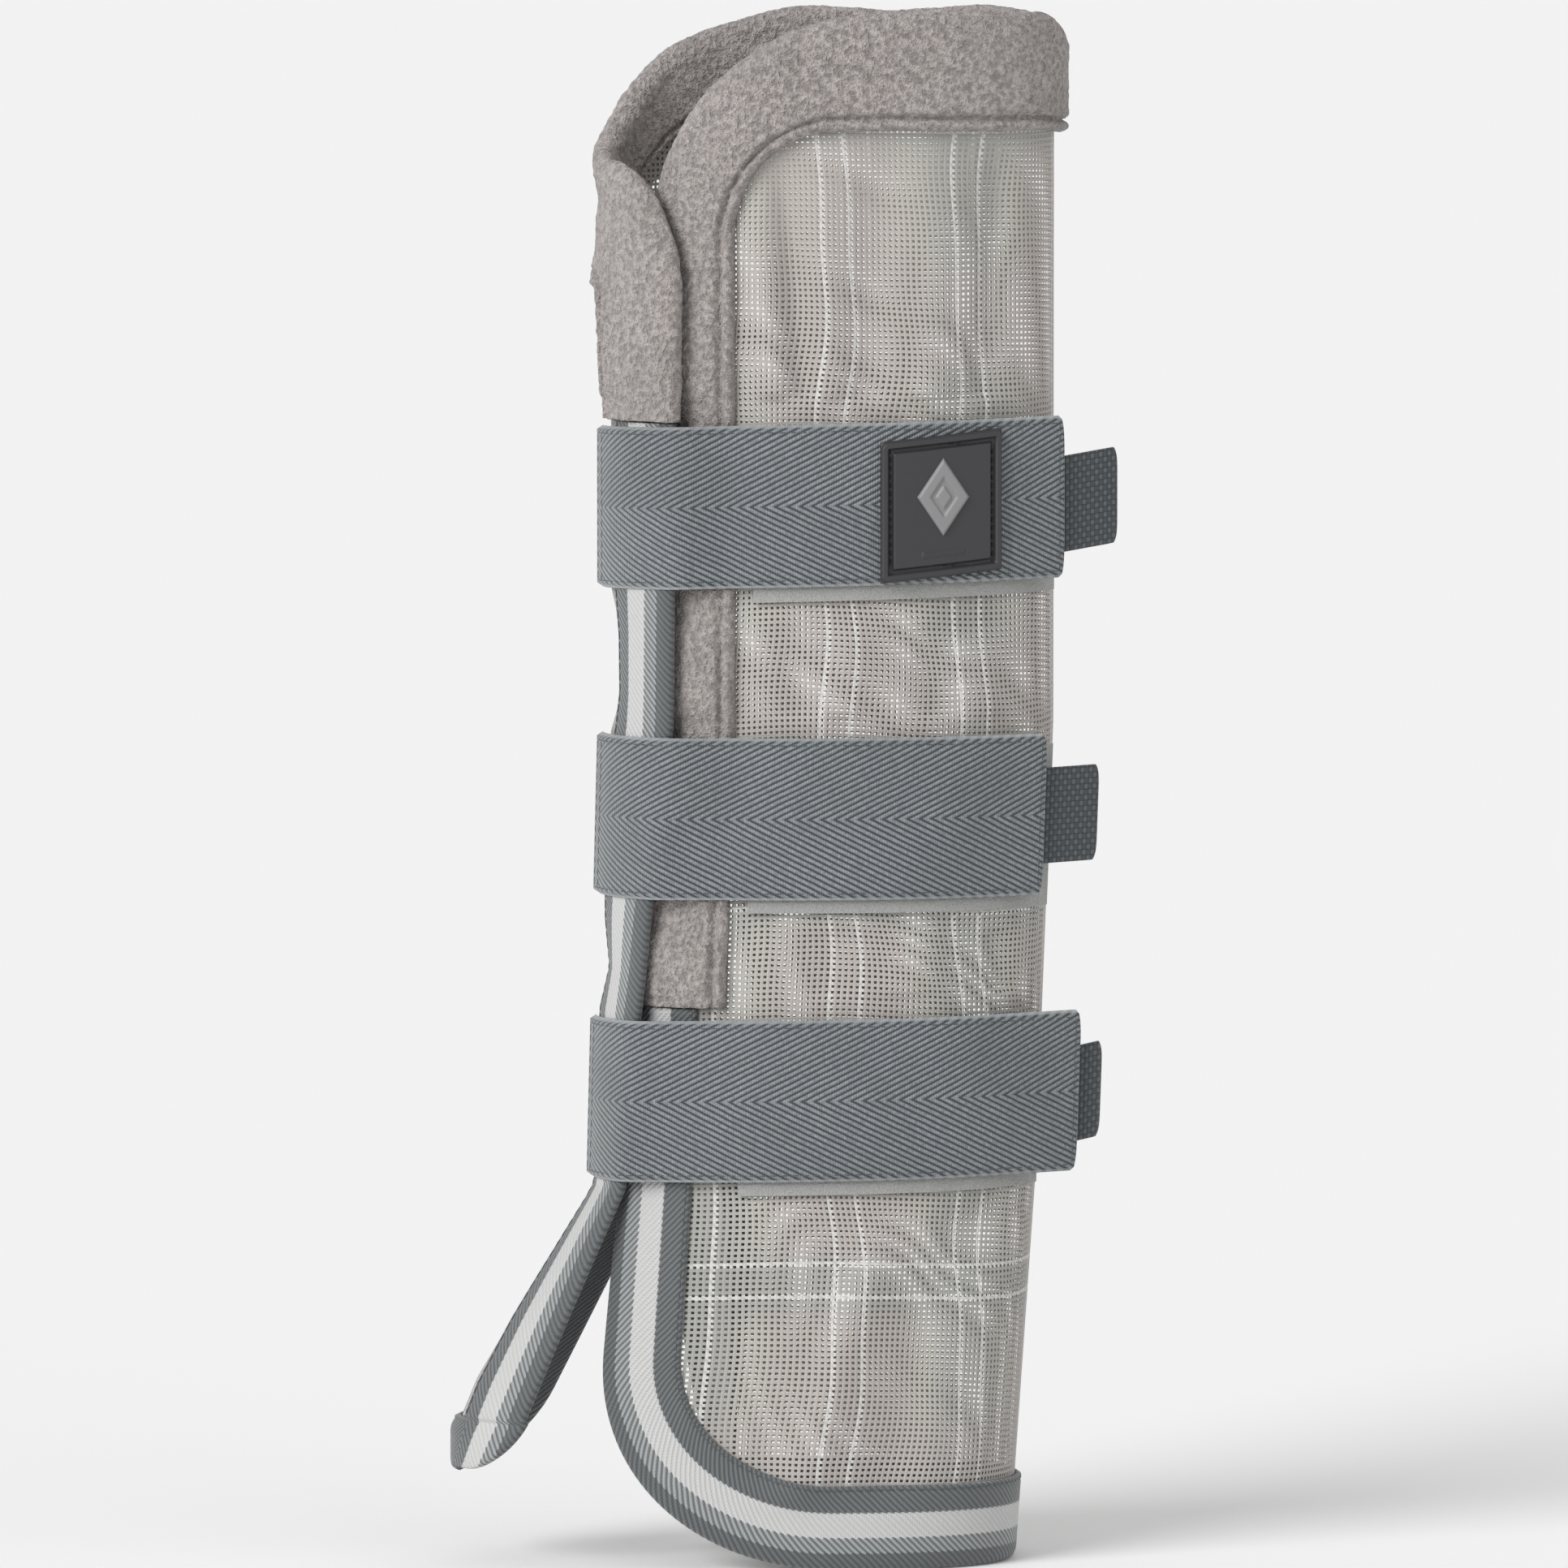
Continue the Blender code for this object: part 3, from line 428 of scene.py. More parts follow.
class Weave:
    """The node graph of one cloth's material. A number or a socket may stand for a value."""

    def __init__(self, name, roughness, sheen=0.0, sheen_roughness=0.5, specular=0.5):
        self.material = bpy.data.materials.new(name)
        self.material.use_nodes = True
        self.tree = self.material.node_tree
        self.shader = self.tree.nodes["Principled BSDF"]
        self.shader.inputs["Roughness"].default_value = roughness
        self.shader.inputs["Sheen Weight"].default_value = sheen
        self.shader.inputs["Sheen Roughness"].default_value = sheen_roughness
        self.shader.inputs["Specular IOR Level"].default_value = specular

    def set(self, socket, value):
        if isinstance(value, bpy.types.NodeSocket):
            self.tree.links.new(value, socket)
        else:
            socket.default_value = value

    def math(self, operation, a, b=0.0, c=0.0):
        node = self.tree.nodes.new("ShaderNodeMath")
        node.operation = operation
        for socket, value in zip(node.inputs, (a, b, c)):
            self.set(socket, value)
        return node.outputs[0]

    def mix(self, share, first, second):
        """Two colours mixed."""
        node = self.tree.nodes.new("ShaderNodeMix")
        node.data_type = "RGBA"
        self.set(node.inputs[0], share)
        for socket, value in zip((node.inputs[6], node.inputs[7]), (first, second)):
            self.set(socket, value if isinstance(value, bpy.types.NodeSocket) else (*value, 1.0))
        return node.outputs[2]

    def along_cloth(self):
        """Distances along and across the piece in millimetres."""
        node = self.tree.nodes.new("ShaderNodeUVMap")
        node.uv_map = "cloth"
        parts = self.tree.nodes.new("ShaderNodeSeparateXYZ")
        self.tree.links.new(node.outputs[0], parts.inputs[0])
        return [self.math("MULTIPLY", parts.outputs[k], 1000.0) for k in (0, 1)]

    def noise(self, scale, detail=2.0, stretch=(1.0, 1.0, 1.0), roughness=0.5):
        """Noise in the piece's own space; the scale is per metre."""
        where = self.tree.nodes.new("ShaderNodeTexCoord")
        mapping = self.tree.nodes.new("ShaderNodeMapping")
        mapping.inputs["Scale"].default_value = stretch
        self.tree.links.new(where.outputs["Object"], mapping.inputs["Vector"])
        node = self.tree.nodes.new("ShaderNodeTexNoise")
        self.tree.links.new(mapping.outputs[0], node.inputs["Vector"])
        node.inputs["Scale"].default_value = scale
        node.inputs["Detail"].default_value = detail
        node.inputs["Roughness"].default_value = roughness
        return node.outputs["Fac"]

    def wave(self, phase):
        """A smooth wave of 0 to 1 with a period of 1."""
        turned = self.math("SINE", self.math("MULTIPLY", phase, 2 * math.pi))
        return self.math("MULTIPLY_ADD", turned, 0.5, 0.5)

    def step(self, value, low, high):
        node = self.tree.nodes.new("ShaderNodeMapRange")
        node.interpolation_type = "SMOOTHSTEP"
        self.set(node.inputs["Value"], value)
        node.inputs["From Min"].default_value = low
        node.inputs["From Max"].default_value = high
        return node.outputs["Result"]

    def stripe(self, value, centre, half, soft):
        """1 within half of a centre."""
        away = self.math("ABSOLUTE", self.math("SUBTRACT", value, centre))
        return self.step(away, half + soft, half - soft)

    def finish(self, colour, height=None, depth=0.0002):
        """The material with its colour, and its relief at most this deep."""
        plain = isinstance(colour, tuple)
        self.set(self.shader.inputs["Base Color"], (*colour, 1.0) if plain else colour)
        if height is not None:
            bump = self.tree.nodes.new("ShaderNodeBump")
            bump.inputs["Strength"].default_value = 1.0
            bump.inputs["Distance"].default_value = depth
            self.tree.links.new(height, bump.inputs["Height"])
            self.tree.links.new(bump.outputs[0], self.shader.inputs["Normal"])
        return self.material


# The plaid's repeats across and up the cloth, in millimetres
PLAID_ACROSS = 42.0
PLAID_UP = 120.0


def net_material(colours, pitch):
    """Coated net with a faint plaid of pink and sage bands and doubled white threads."""
    made = Weave("net", 0.55, sheen=0.15)
    u, v = made.along_cloth()
    base, pink = tuple(colours.net), tuple(colours.net_pink)
    sage, white = tuple(colours.net_sage), tuple(colours.net_white)
    across = made.math("PINGPONG", made.math("ADD", u, 12 * PLAID_ACROSS + 4.0), PLAID_ACROSS)
    up = made.math("PINGPONG", made.math("ADD", v, 33.0), PLAID_UP / 2)
    colour = made.mix(made.math("MULTIPLY", made.step(across, 26.0, 16.0), 0.75), base, pink)
    colour = made.mix(made.math("MULTIPLY", made.step(across, 26.0, 36.0), 0.75), colour, sage)
    colour = made.mix(made.math("MULTIPLY", made.step(up, 14.0, 4.0), 0.55), colour, sage)
    colour = made.mix(made.math("MULTIPLY", made.step(up, 34.0, 48.0), 0.55), colour, pink)
    lines = 0.0
    for value, period, first, second in ((u, PLAID_ACROSS, 34.7, 1.4), (v, PLAID_UP, 84.0, 94.0)):
        place = made.math("WRAP", value, period, 0.0)
        for centre in (first, second):
            lines = made.math("MAXIMUM", lines, made.stripe(place, centre, pitch * 420, 0.12))
    dash_phase = made.math("MULTIPLY", made.math("ADD", u, v), 0.5 / (pitch * 1000))
    dashes = made.step(made.wave(dash_phase), 0.05, 0.5)
    strength = made.math("MULTIPLY_ADD", dashes, 0.4, 0.45)
    colour = made.mix(made.math("MULTIPLY", lines, strength), colour, white)
    uneven = made.math("MULTIPLY", made.noise(900.0, 3.0), 0.35)
    colour = made.mix(uneven, colour, darker(base, 0.62))
    thread = 1 / (pitch * 1000)
    twist_up = made.wave(made.math("MULTIPLY", v, 2 * thread))
    twist_across = made.wave(made.math("MULTIPLY", u, 2 * thread))
    height = made.math("ADD", made.math("MULTIPLY", twist_up, twist_across), uneven)
    return made.finish(colour, height, 0.00012)


def fleece_material(colours):
    """A curly pile with a soft bloom, painted shade between its curls and a painted highlight on their
    tops.
    """
    made = Weave("fleece", 0.95, sheen=0.35, sheen_roughness=0.6, specular=0.1)
    curled = made.noise(520.0, 3.0, roughness=0.62)
    fine = made.noise(1500.0, 2.0)
    patches = made.noise(38.0, 2.0)
    pits = made.step(curled, 0.62, 0.34)
    colour = made.mix(made.math("MULTIPLY", pits, 0.8), tuple(colours.fleece), tuple(colours.fleece_shade))
    # Painted highlight: the curls' tops, where the relief is highest, are painted paler
    curl_highlight = made.math("MULTIPLY", made.step(curled, 0.50, 0.72), 0.45)
    colour = made.mix(curl_highlight, colour, tuple(colours.fleece_highlight))
    colour = made.mix(made.math("MULTIPLY", made.step(patches, 0.45, 0.65), 0.22), colour,
                      tuple(colours.fleece_shade))
    height = made.math("ADD", curled, made.math("MULTIPLY", fine, 0.30))
    return made.finish(colour, height, 0.0038)


def twill_lines(made, u, v, pitch, slope):
    """Slanted threads, and the dots that the threads across them make."""
    phase = made.math("DIVIDE", made.math("MULTIPLY_ADD", v, slope, u), pitch)
    return made.wave(phase), made.wave(made.math("DIVIDE", u, 0.75))


def tape_material(name, colours, stripes):
    """Twill tape; stripes are (from, to, colour), in millimetres from its edge, the last one smooth."""
    made = Weave(name, 0.62, sheen=0.35)
    u, v = made.along_cloth()
    wobble = made.math("MULTIPLY", made.math("SUBTRACT", made.noise(160.0, 2.0), 0.5), 0.7)
    thread, fibre = twill_lines(made, made.math("ADD", u, wobble), v, 2.1, 1.05)
    colour, smooth = tuple(colours.tape_grey), 0.0
    for low, high, stripe in stripes:
        ragged = made.math("MULTIPLY_ADD", thread, 0.5, v)
        smooth = made.stripe(ragged, (low + high) / 2, (high - low) / 2, 0.22)
        colour = made.mix(smooth, colour, tuple(stripe))
    dark = made.math("MULTIPLY", made.step(thread, 0.70, 0.15), 0.72)
    dark = made.math("MULTIPLY", dark, made.math("SUBTRACT", 1.0, made.math("MULTIPLY", smooth, 0.85)))
    shaded = made.mix(dark, colour, tuple(colours.tape_shade))
    height = made.math("MULTIPLY_ADD", fibre, 0.25, thread)
    return made.finish(shaded, height, 0.00028)


def webbing_material(colours, width):
    """Herringbone webbing: one chevron along the middle that points to the sewn end."""
    made = Weave("webbing", 0.55, sheen=0.4)
    u, v = made.along_cloth()
    from_middle = made.math("ABSOLUTE", made.math("SUBTRACT", v, width * 500))
    wobble = made.math("MULTIPLY", made.math("SUBTRACT", made.noise(120.0, 2.0), 0.5), 0.8)
    thread, fibre = twill_lines(made, made.math("ADD", u, wobble), from_middle, 3.75, -2.0)
    flecks = made.noise(1100.0, 2.0)
    # Painted shade in the grooves between the herringbone's threads, where the relief is lowest
    dark = made.math("MULTIPLY", made.step(thread, 0.62, 0.12), 0.92)
    dots = made.math("MULTIPLY", made.step(flecks, 0.30, 0.70), made.math("MULTIPLY_ADD", fibre, 0.7, 0.15))
    light = made.mix(dots, tuple(colours.webbing), tuple(colours.webbing_light))
    colour = made.mix(dark, light, tuple(colours.webbing_shade_and_patches))
    selvedge = made.step(from_middle, width * 500 - 1.1, width * 500 - 0.5)
    colour = made.mix(made.math("MULTIPLY", selvedge, 0.75), colour, tuple(colours.webbing_light))
    # Darker patches at random, in the same colour
    uneven = made.math("MULTIPLY", made.step(made.noise(28.0, 2.0), 0.35, 0.70), 0.16)
    colour = made.mix(uneven, colour, tuple(colours.webbing_shade_and_patches))
    return made.finish(colour, made.math("MULTIPLY_ADD", fibre, 0.3, thread), 0.0003)


def tab_material(colours):
    """Basket weave webbing, with painted shade in the hollows between its threads."""
    made = Weave("tab", 0.5, sheen=0.2)
    u, v = made.along_cloth()
    turn = math.pi / 1.45
    over = made.math("MULTIPLY", made.math("SINE", made.math("MULTIPLY", u, turn)),
                     made.math("SINE", made.math("MULTIPLY", v, turn * 0.85)))
    height = made.math("ABSOLUTE", over)
    light = made.math("MULTIPLY", made.step(over, 0.0, 0.6), 0.8)
    colour = made.mix(light, tuple(colours.tab), tuple(colours.tab_light))
    # Painted shade in the weave's hollows, where the relief is lowest
    colour = made.mix(made.step(height, 0.30, 0.0), colour, darker(colours.tab, 0.35))
    return made.finish(colour, height, 0.0003)


def fuzz_material(name, colour):
    """The short fuzz of hook and loop tape, with painted shade where its relief is lowest."""
    made = Weave(name, 0.9, sheen=0.4, specular=0.2)
    fuzz = made.noise(1500.0, 3.0)
    # Painted shade: darker where the fuzz's relief is lowest
    return made.finish(made.mix(fuzz, darker(colour, 0.55), tuple(colour)), fuzz, 0.0006)


def rubber_material(name, colour, roughness):
    """Moulded rubber with a fine matt grain."""
    made = Weave(name, roughness, specular=0.4)
    grain = made.noise(2600.0, 3.0)
    grainy = made.mix(made.math("MULTIPLY", grain, 0.35), tuple(colour), darker(colour, 0.6))
    return made.finish(grainy, grain, 0.00005)


def thread_material(name, colour):
    """Twisted sewing thread, with painted shade where the twist's relief is lowest."""
    made = Weave(name, 0.5, sheen=0.2)
    twist = made.noise(2200.0, 2.0, (1.0, 1.0, 3.0))
    # Painted shade: darker where the twist's relief is lowest
    return made.finish(made.mix(twist, darker(colour, 0.6), tuple(colour)), twist, 0.0001)


def shared(name, make, *values):
    """The boot's material of that name, made once."""
    name = f"boot_{name}"
    made = bpy.data.materials.get(name)
    if not made:
        made = make(*values)
        made.name = name
    return made


# Making pieces


def flat_grid(columns, rows):
    """A square of cells with its corners from 0 to 1."""
    bm = bmesh.new()
    bmesh.ops.create_grid(bm, x_segments=columns, y_segments=rows, size=0.5)
    bmesh.ops.translate(bm, verts=bm.verts, vec=(0.5, 0.5, 0.0))
    return bm


def corners_of(bm):
    return np.array([vert.co for vert in bm.verts])


def move_to(bm, points):
    for vert, point in zip(bm.verts, points):
        vert.co = point


def mark_cloth(bm, u, v):
    """Stores each corner's place on the cloth as the piece's UV map."""
    layer = bm.loops.layers.uv.new("cloth")
    bm.verts.index_update()
    for face in bm.faces:
        for loop in face.loops:
            loop[layer].uv = (u[loop.vert.index], v[loop.vert.index])


def made_object(name, bm, material, body, nodes=()):
    """A finished piece that rides on a body and stands for its CAD nodes."""
    for face in bm.faces:
        face.smooth = True
    mesh = bpy.data.meshes.new(name)
    bm.to_mesh(mesh)
    bm.free()
    mesh.materials.append(material)
    made = bpy.data.objects.new(name, mesh)
    bpy.context.scene.collection.objects.link(made)
    if isinstance(body, str):
        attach(made, body)
    else:
        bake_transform(made)
    if nodes:
        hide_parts(*nodes)
    return made


def net_piece(name, region, size, place, keep, body, nodes, sizes, material):
    """A sheet of net. place(u, v) gives distance and height from the net's own threads."""
    width, start, bottom, top = size
    columns, rows = round(width / sizes.net_pitch), round((top - bottom) / sizes.net_pitch)
    bm = flat_grid(columns, rows)
    bmesh.ops.scale(bm, verts=bm.verts, vec=(columns * sizes.net_pitch, rows * sizes.net_pitch, 1.0))
    bmesh.ops.translate(bm, verts=bm.verts, vec=(start, bottom, 0.0))
    centres = np.array([face.calc_center_median() for face in bm.faces])
    distance, z = place(centres[:, 0], centres[:, 1])
    wanted = keep(distance, z)
    bm.faces.ensure_lookup_table()
    gone = [face for face, stays in zip(bm.faces, wanted) if not stays]
    bmesh.ops.delete(bm, geom=gone, context="FACES")
    holes = bm.faces[:]
    hollow = (sizes.net_pitch - sizes.net_hole) / 2
    bmesh.ops.inset_individual(bm, faces=holes, thickness=hollow, use_even_offset=True)
    rim = bm.verts.layers.int.new("rim")
    for face in holes:
        for vert in face.verts:
            vert[rim] = 1
    bmesh.ops.delete(bm, geom=holes, context="FACES_ONLY")
    flat = corners_of(bm)
    sunk = np.array([-0.00018 * vert[rim] for vert in bm.verts])
    distance, z = place(flat[:, 0], flat[:, 1])
    mark_cloth(bm, flat[:, 0], flat[:, 1])
    move_to(bm, wrapped(region, distance, z, sunk))
    return made_object(name, bm, material, body, nodes)


def soft_profile(width, face, overhang, groove, fill, step, inner):
    """A folded binding's outline: outer leaf, edge, inner leaf and back along the net, as
    (inwards, offset) points, with how many of them show. The inner leaf may be narrower."""
    border = np.arange(0, 2.2 * groove, 0.45 * step)
    body = np.linspace(2.2 * groove, width, round((width - 2.2 * groove) / step) + 1)
    turn = np.linspace(0, math.pi / 2, 7)[1:]
    from_border = np.concatenate([border, body, width + overhang * np.sin(turn)])
    inwards = width - from_border
    edge = np.clip((inwards + overhang) / (3.2 * overhang), 0, 1)
    bulge = np.sqrt(1 - (1 - edge) ** 2)
    pressed = 1 - fill * np.exp(-(((from_border - groove) / (0.28 * groove)) ** 2))
    turned_in = 0.30 + 0.70 * np.sqrt(np.clip(from_border / (0.42 * groove), 0, 1))
    offset = (face - NET_HALF) * bulge * pressed * turned_in + NET_HALF * bulge
    back = slice(-2, None, -2)
    under = np.where(inwards > 0, inwards * inner, inwards)[back]
    leaf = list(zip(inwards, offset)) + list(zip(under, -offset[back]))
    shown = len(leaf)
    spine = np.linspace(inner * width, overhang, 6)
    outline = leaf + [(w, -0.4 * NET_HALF) for w in spine]
    outline += [(w, 0.4 * NET_HALF) for w in np.linspace(overhang, width, 6)] + leaf[:1]
    return np.array(outline), shown


def ring_path(edge, border, spacing):
    """Rings resampled at an even spacing along their middles."""
    edge, border = np.array(edge), np.array(border)
    distance = lengths((edge[:, 0] + border[:, 0]) / 2, (edge[:, 1] + border[:, 1]) / 2)
    at = np.linspace(0, distance[-1], max(2, round(distance[-1] / spacing)) + 1)
    pick = lambda points: np.stack([np.interp(at, distance, points[:, k]) for k in (0, 1)], axis=1)
    return pick(edge), pick(border), at


def outwards(bm):
    """Turns a closed piece's faces outwards."""
    bmesh.ops.recalc_face_normals(bm, faces=bm.faces)
    if bm.calc_volume(signed=True) < 0:
        bmesh.ops.reverse_faces(bm, faces=bm.faces)


def binding(name, region, rings, width, profile, spacing, body, nodes, material,
            bulge=None, nap=None):
    """Cloth folded over an edge: a closed piece, swept along its rings."""
    edge, border, along = ring_path(*rings, spacing)
    outline, shown = profile
    bm = flat_grid(len(edge) - 1, len(outline) - 1)
    cells = corners_of(bm)
    i = np.rint(cells[:, 0] * (len(edge) - 1)).astype(int)
    j = np.rint(cells[:, 1] * (len(outline) - 1)).astype(int)
    inwards, offset = outline[j, 0], outline[j, 1]
    share = (inwards / width)[:, None]
    place = edge[i] * (1 - share) + border[i] * share
    outer_row = (j < shown) | (j == len(outline) - 1)
    if bulge is not None:
        offset = offset * (1 + bulge(place[:, 1]) * outer_row)
    points = wrapped(region, place[:, 0], place[:, 1], offset)
    ring = np.linalg.norm(edge - border, axis=1)[i]
    mark_cloth(bm, along[i], width - ring * (1 - inwards / width))
    move_to(bm, points)
    outer = bm.verts.layers.int.new("outer")
    for vert, shows in zip(bm.verts, outer_row):
        vert[outer] = int(shows)
    bmesh.ops.remove_doubles(bm, verts=bm.verts, dist=1e-6)
    bmesh.ops.holes_fill(bm, edges=[e for e in bm.edges if e.is_boundary], sides=0)
    outwards(bm)
    if nap:
        bm.normal_update()
        for vert in bm.verts:
            if vert[outer]:
                vert.co += vert.normal * nap(vert.co)
    return made_object(name, bm, material, body, nodes)


def curls(point):
    """The uneven surface of a curly pile."""
    from_noise = noise.noise(point * 520.0) + 0.6 * noise.noise(point * 1150.0 + Vector((7.0, 3.0, 1.0)))
    return 0.00034 * from_noise + 0.0004 * noise.noise(point * 110.0)


def corner_ring(centre, size, start, end, steps, up):
    """Points round an elliptical corner, by angle from the vertical."""
    turn = np.linspace(start, end, steps)
    across, along = np.sin(turn), up * np.cos(turn)
    return np.stack([centre[0] + across * size[0], centre[1] + along * size[1]], axis=1)


def corner_rings(centre, size, width, start, end, steps, up):
    """Edge and border points round an elliptical corner."""
    return [corner_ring(centre, inside(size, inset), start, end, steps, up) for inset in (0.0, width)]


def mirrored(points):
    """Front distances as the panel counts them."""
    return np.stack([-points[:, 0], points[:, 1]], axis=1)


def upright(distance, low, high):
    """A line of points straight up the cloth."""
    heights = np.linspace(low, high, 80)
    return np.stack([np.full_like(heights, distance), heights], axis=1)


def upright_rings(distance, heights, width):
    """A straight edge up the cloth and its border."""
    edge = np.stack([np.full_like(heights, distance), heights], axis=1)
    return edge, edge - np.array([width, 0.0])


def stitches(name, region, path, offset, body, material, length=0.0023, gap=0.0009, thick=0.00024):
    """A row of sewn stitches along a path of (distance, height) points."""
    path = np.array(path)
    run = lengths(path[:, 0], path[:, 1])
    count = max(1, int(run[-1] / (length + gap)))
    at = (np.arange(count) + 0.5) * run[-1] / count
    ends = []
    for nudge in (-length / 2, length / 2):
        distance, z = (np.interp(at + nudge, run, path[:, k]) for k in (0, 1))
        ends.append(wrapped(region, distance, z, np.full(count, offset)))
    bm = bmesh.new()
    for start, end in zip(*ends):
        start, end = Vector(start), Vector(end)
        turn = (end - start).to_track_quat("Z", "Y").to_matrix().to_4x4()
        size = Matrix.Diagonal((thick, thick, (end - start).length / 2 + thick / 2, 1.0))
        bmesh.ops.create_uvsphere(bm, u_segments=6, v_segments=4, radius=1.0,
                                  matrix=Matrix.Translation((start + end) / 2) @ turn @ size)
    return made_object(name, bm, material, body)


def from_tip(strap, z, back):
    """The distance along a strap of a place this far back from its tip."""
    heights, ends = strap_ends()
    return np.interp(z, heights, ends) - (LONGEST_TIP - STRAPS[strap][2] + back)


@lru_cache(maxsize=None)
def strap_ends():
    heights = np.arange(0.10, 0.37, LEVEL_STEP)
    return heights, np.array([strap_line(z)[0][-1] for z in heights])


def strap_solid(strap, name, ends, levels, grid, face, back, body, nodes, material, end_round=0.0):
    """A closed solid along a strap. ends(z) gives its two distances; face(u, v) its outer offset,
    with u from the sewn end and v from the lower edge, as shares of its length and width."""
    low, rise, _ = STRAPS[strap]
    bm = flat_grid(*grid)
    grown = bmesh.ops.extrude_face_region(bm, geom=bm.faces[:], use_keep_orig=True)
    outer = {item for item in grown["geom"] if isinstance(item, bmesh.types.BMVert)}
    side = np.array([vert in outer for vert in bm.verts])
    cells = corners_of(bm)
    u, v = cells[:, 0], cells[:, 1]
    z = low + rise * u + levels[0] + (levels[1] - levels[0]) * v
    start, end = ends(z)
    if end_round:
        end = end - end_round * (2 * np.abs(v - 0.5)) ** 8
    distance = start + (end - start) * u
    offset = np.where(side, face(u, v), back)
    mark_cloth(bm, distance, z - low - rise * u)
    move_to(bm, wrapped("strap", distance, z, offset))
    outwards(bm)
    return made_object(name, bm, material, body, nodes)


# Settings


def colour_setting(name, text, value):
    return FloatVectorProperty(name=name, description=text, default=value, subtype="COLOR", size=3,
                               min=0.0, max=1.0)


def size_setting(name, text, value):
    return FloatProperty(name=name, description=text, default=value, min=0.0, unit="LENGTH", precision=5)


class FLYBOOT_sizes(bpy.types.PropertyGroup):
    net_pitch: size_setting("Net pitch", "Distance between the net's threads", 0.00175)
    net_hole: size_setting("Net hole", "Width of the net's square holes", 0.00082)
    fleece_bulge: FloatProperty(name="Fleece bulge", description="Extra puff between the straps",
                                default=0.28, subtype="FACTOR", min=0.0, max=1.0)
    camera_distance: size_setting("Camera distance", "From the boot's middle to the camera", 5.0)
    camera_rise: size_setting("Camera rise", "Height of the camera above the floor", 0.61)


class FLYBOOT_colours(bpy.types.PropertyGroup):
    net: colour_setting("Net", "The net's plain threads", (0.43, 0.412, 0.376))
    net_pink: colour_setting("Net pink", "The plaid's pink bands", (0.41, 0.372, 0.352))
    net_sage: colour_setting("Net sage", "The plaid's grey green bands", (0.31, 0.314, 0.292))
    net_white: colour_setting("Net white", "The plaid's white threads", (0.68, 0.67, 0.645))
    fleece: colour_setting("Fleece", "The pile", (0.450, 0.404, 0.385))
    fleece_shade: colour_setting("Fleece shade", "Between the curls", (0.205, 0.180, 0.170))
    # Painted highlight on the curls' tops
    fleece_highlight: colour_setting("Fleece tips", "The curls' pale ends", (0.57, 0.525, 0.505))
    tape_grey: colour_setting("Tape grey", "The tape's inner stripe", (0.125, 0.135, 0.139))
    tape_white: colour_setting("Tape white", "The tape's middle stripe", (0.52, 0.52, 0.515))
    tape_light: colour_setting("Tape light", "The stripe beside the white one", (0.30, 0.315, 0.315))
    tape_edge: colour_setting("Tape edge", "The tape's outer stripe", (0.110, 0.119, 0.123))
    tape_shade: colour_setting("Tape shade", "Between the twill's threads", (0.032, 0.037, 0.041))
    webbing: colour_setting("Webbing", "The straps' threads", (0.150, 0.171, 0.187))
    # Lighter flecks at random, brightest on the raised cross threads, and lighter selvedges
    webbing_light: colour_setting("Webbing light", "The straps' worn threads", (0.33, 0.352, 0.362))
    # Painted shade between the herringbone's threads; the same colour also darkens random patches
    webbing_shade_and_patches: colour_setting("Webbing dark", "Between the herringbone's threads", (0.012, 0.015, 0.018))
    tab: colour_setting("Tab", "The pull tabs", (0.037, 0.047, 0.054))
    tab_light: colour_setting("Tab light", "The pull tabs' raised threads", (0.087, 0.104, 0.114))
    hook: colour_setting("Hook", "The straps' hook patches", (0.66, 0.66, 0.65))
    loop: colour_setting("Loop", "The panel's loop strips", (0.42, 0.42, 0.41))
    badge: colour_setting("Badge", "The badge's rubber", (0.040, 0.040, 0.043))
    motif: colour_setting("Motif", "The raised lozenge", (0.24, 0.24, 0.245))
    thread: colour_setting("Thread", "Dark sewing thread", (0.075, 0.09, 0.10))
    badge_thread: colour_setting("Badge thread", "The badge's sewing", (0.015, 0.015, 0.017))
    floor: colour_setting("Floor", "The floor and wall", (0.97, 0.97, 0.97))


def settings():
    """The scene's sizes and colours."""
    return bpy.context.scene.fly_boot_sizes, bpy.context.scene.fly_boot_colours


FLAP_X = -FOLD_LEFT[2] + SHIFT[0]
FLAP_BLEND = ("panel", "flap", ((FLAP_X, SHIFT[1] + 0.0005, 0.0), (FLAP_X, SHIFT[1] - 0.012, 0.0)))


def net_drift(u, v, width):
    """Sideways drift of the front's upright threads, none at either side."""
    middle = np.sin(np.clip(u / -width, 0, 1) * math.pi)
    low = ramp(0.30 - v, 0.0, 0.28)
    broad = 0.0016 * np.sin(v * 2 * math.pi / 0.105 + u * 34)
    narrow = 0.0007 * np.sin(v * 2 * math.pi / 0.047 + u * 60)
    return middle * (0.012 * low + (broad + narrow))


def rise_wave(u, v):
    """Gentle dips of the net's level threads."""
    return 0.0014 * np.sin(u * 2 * math.pi / 0.11 + 0.6) * np.sin(v * math.pi / HEIGHT)


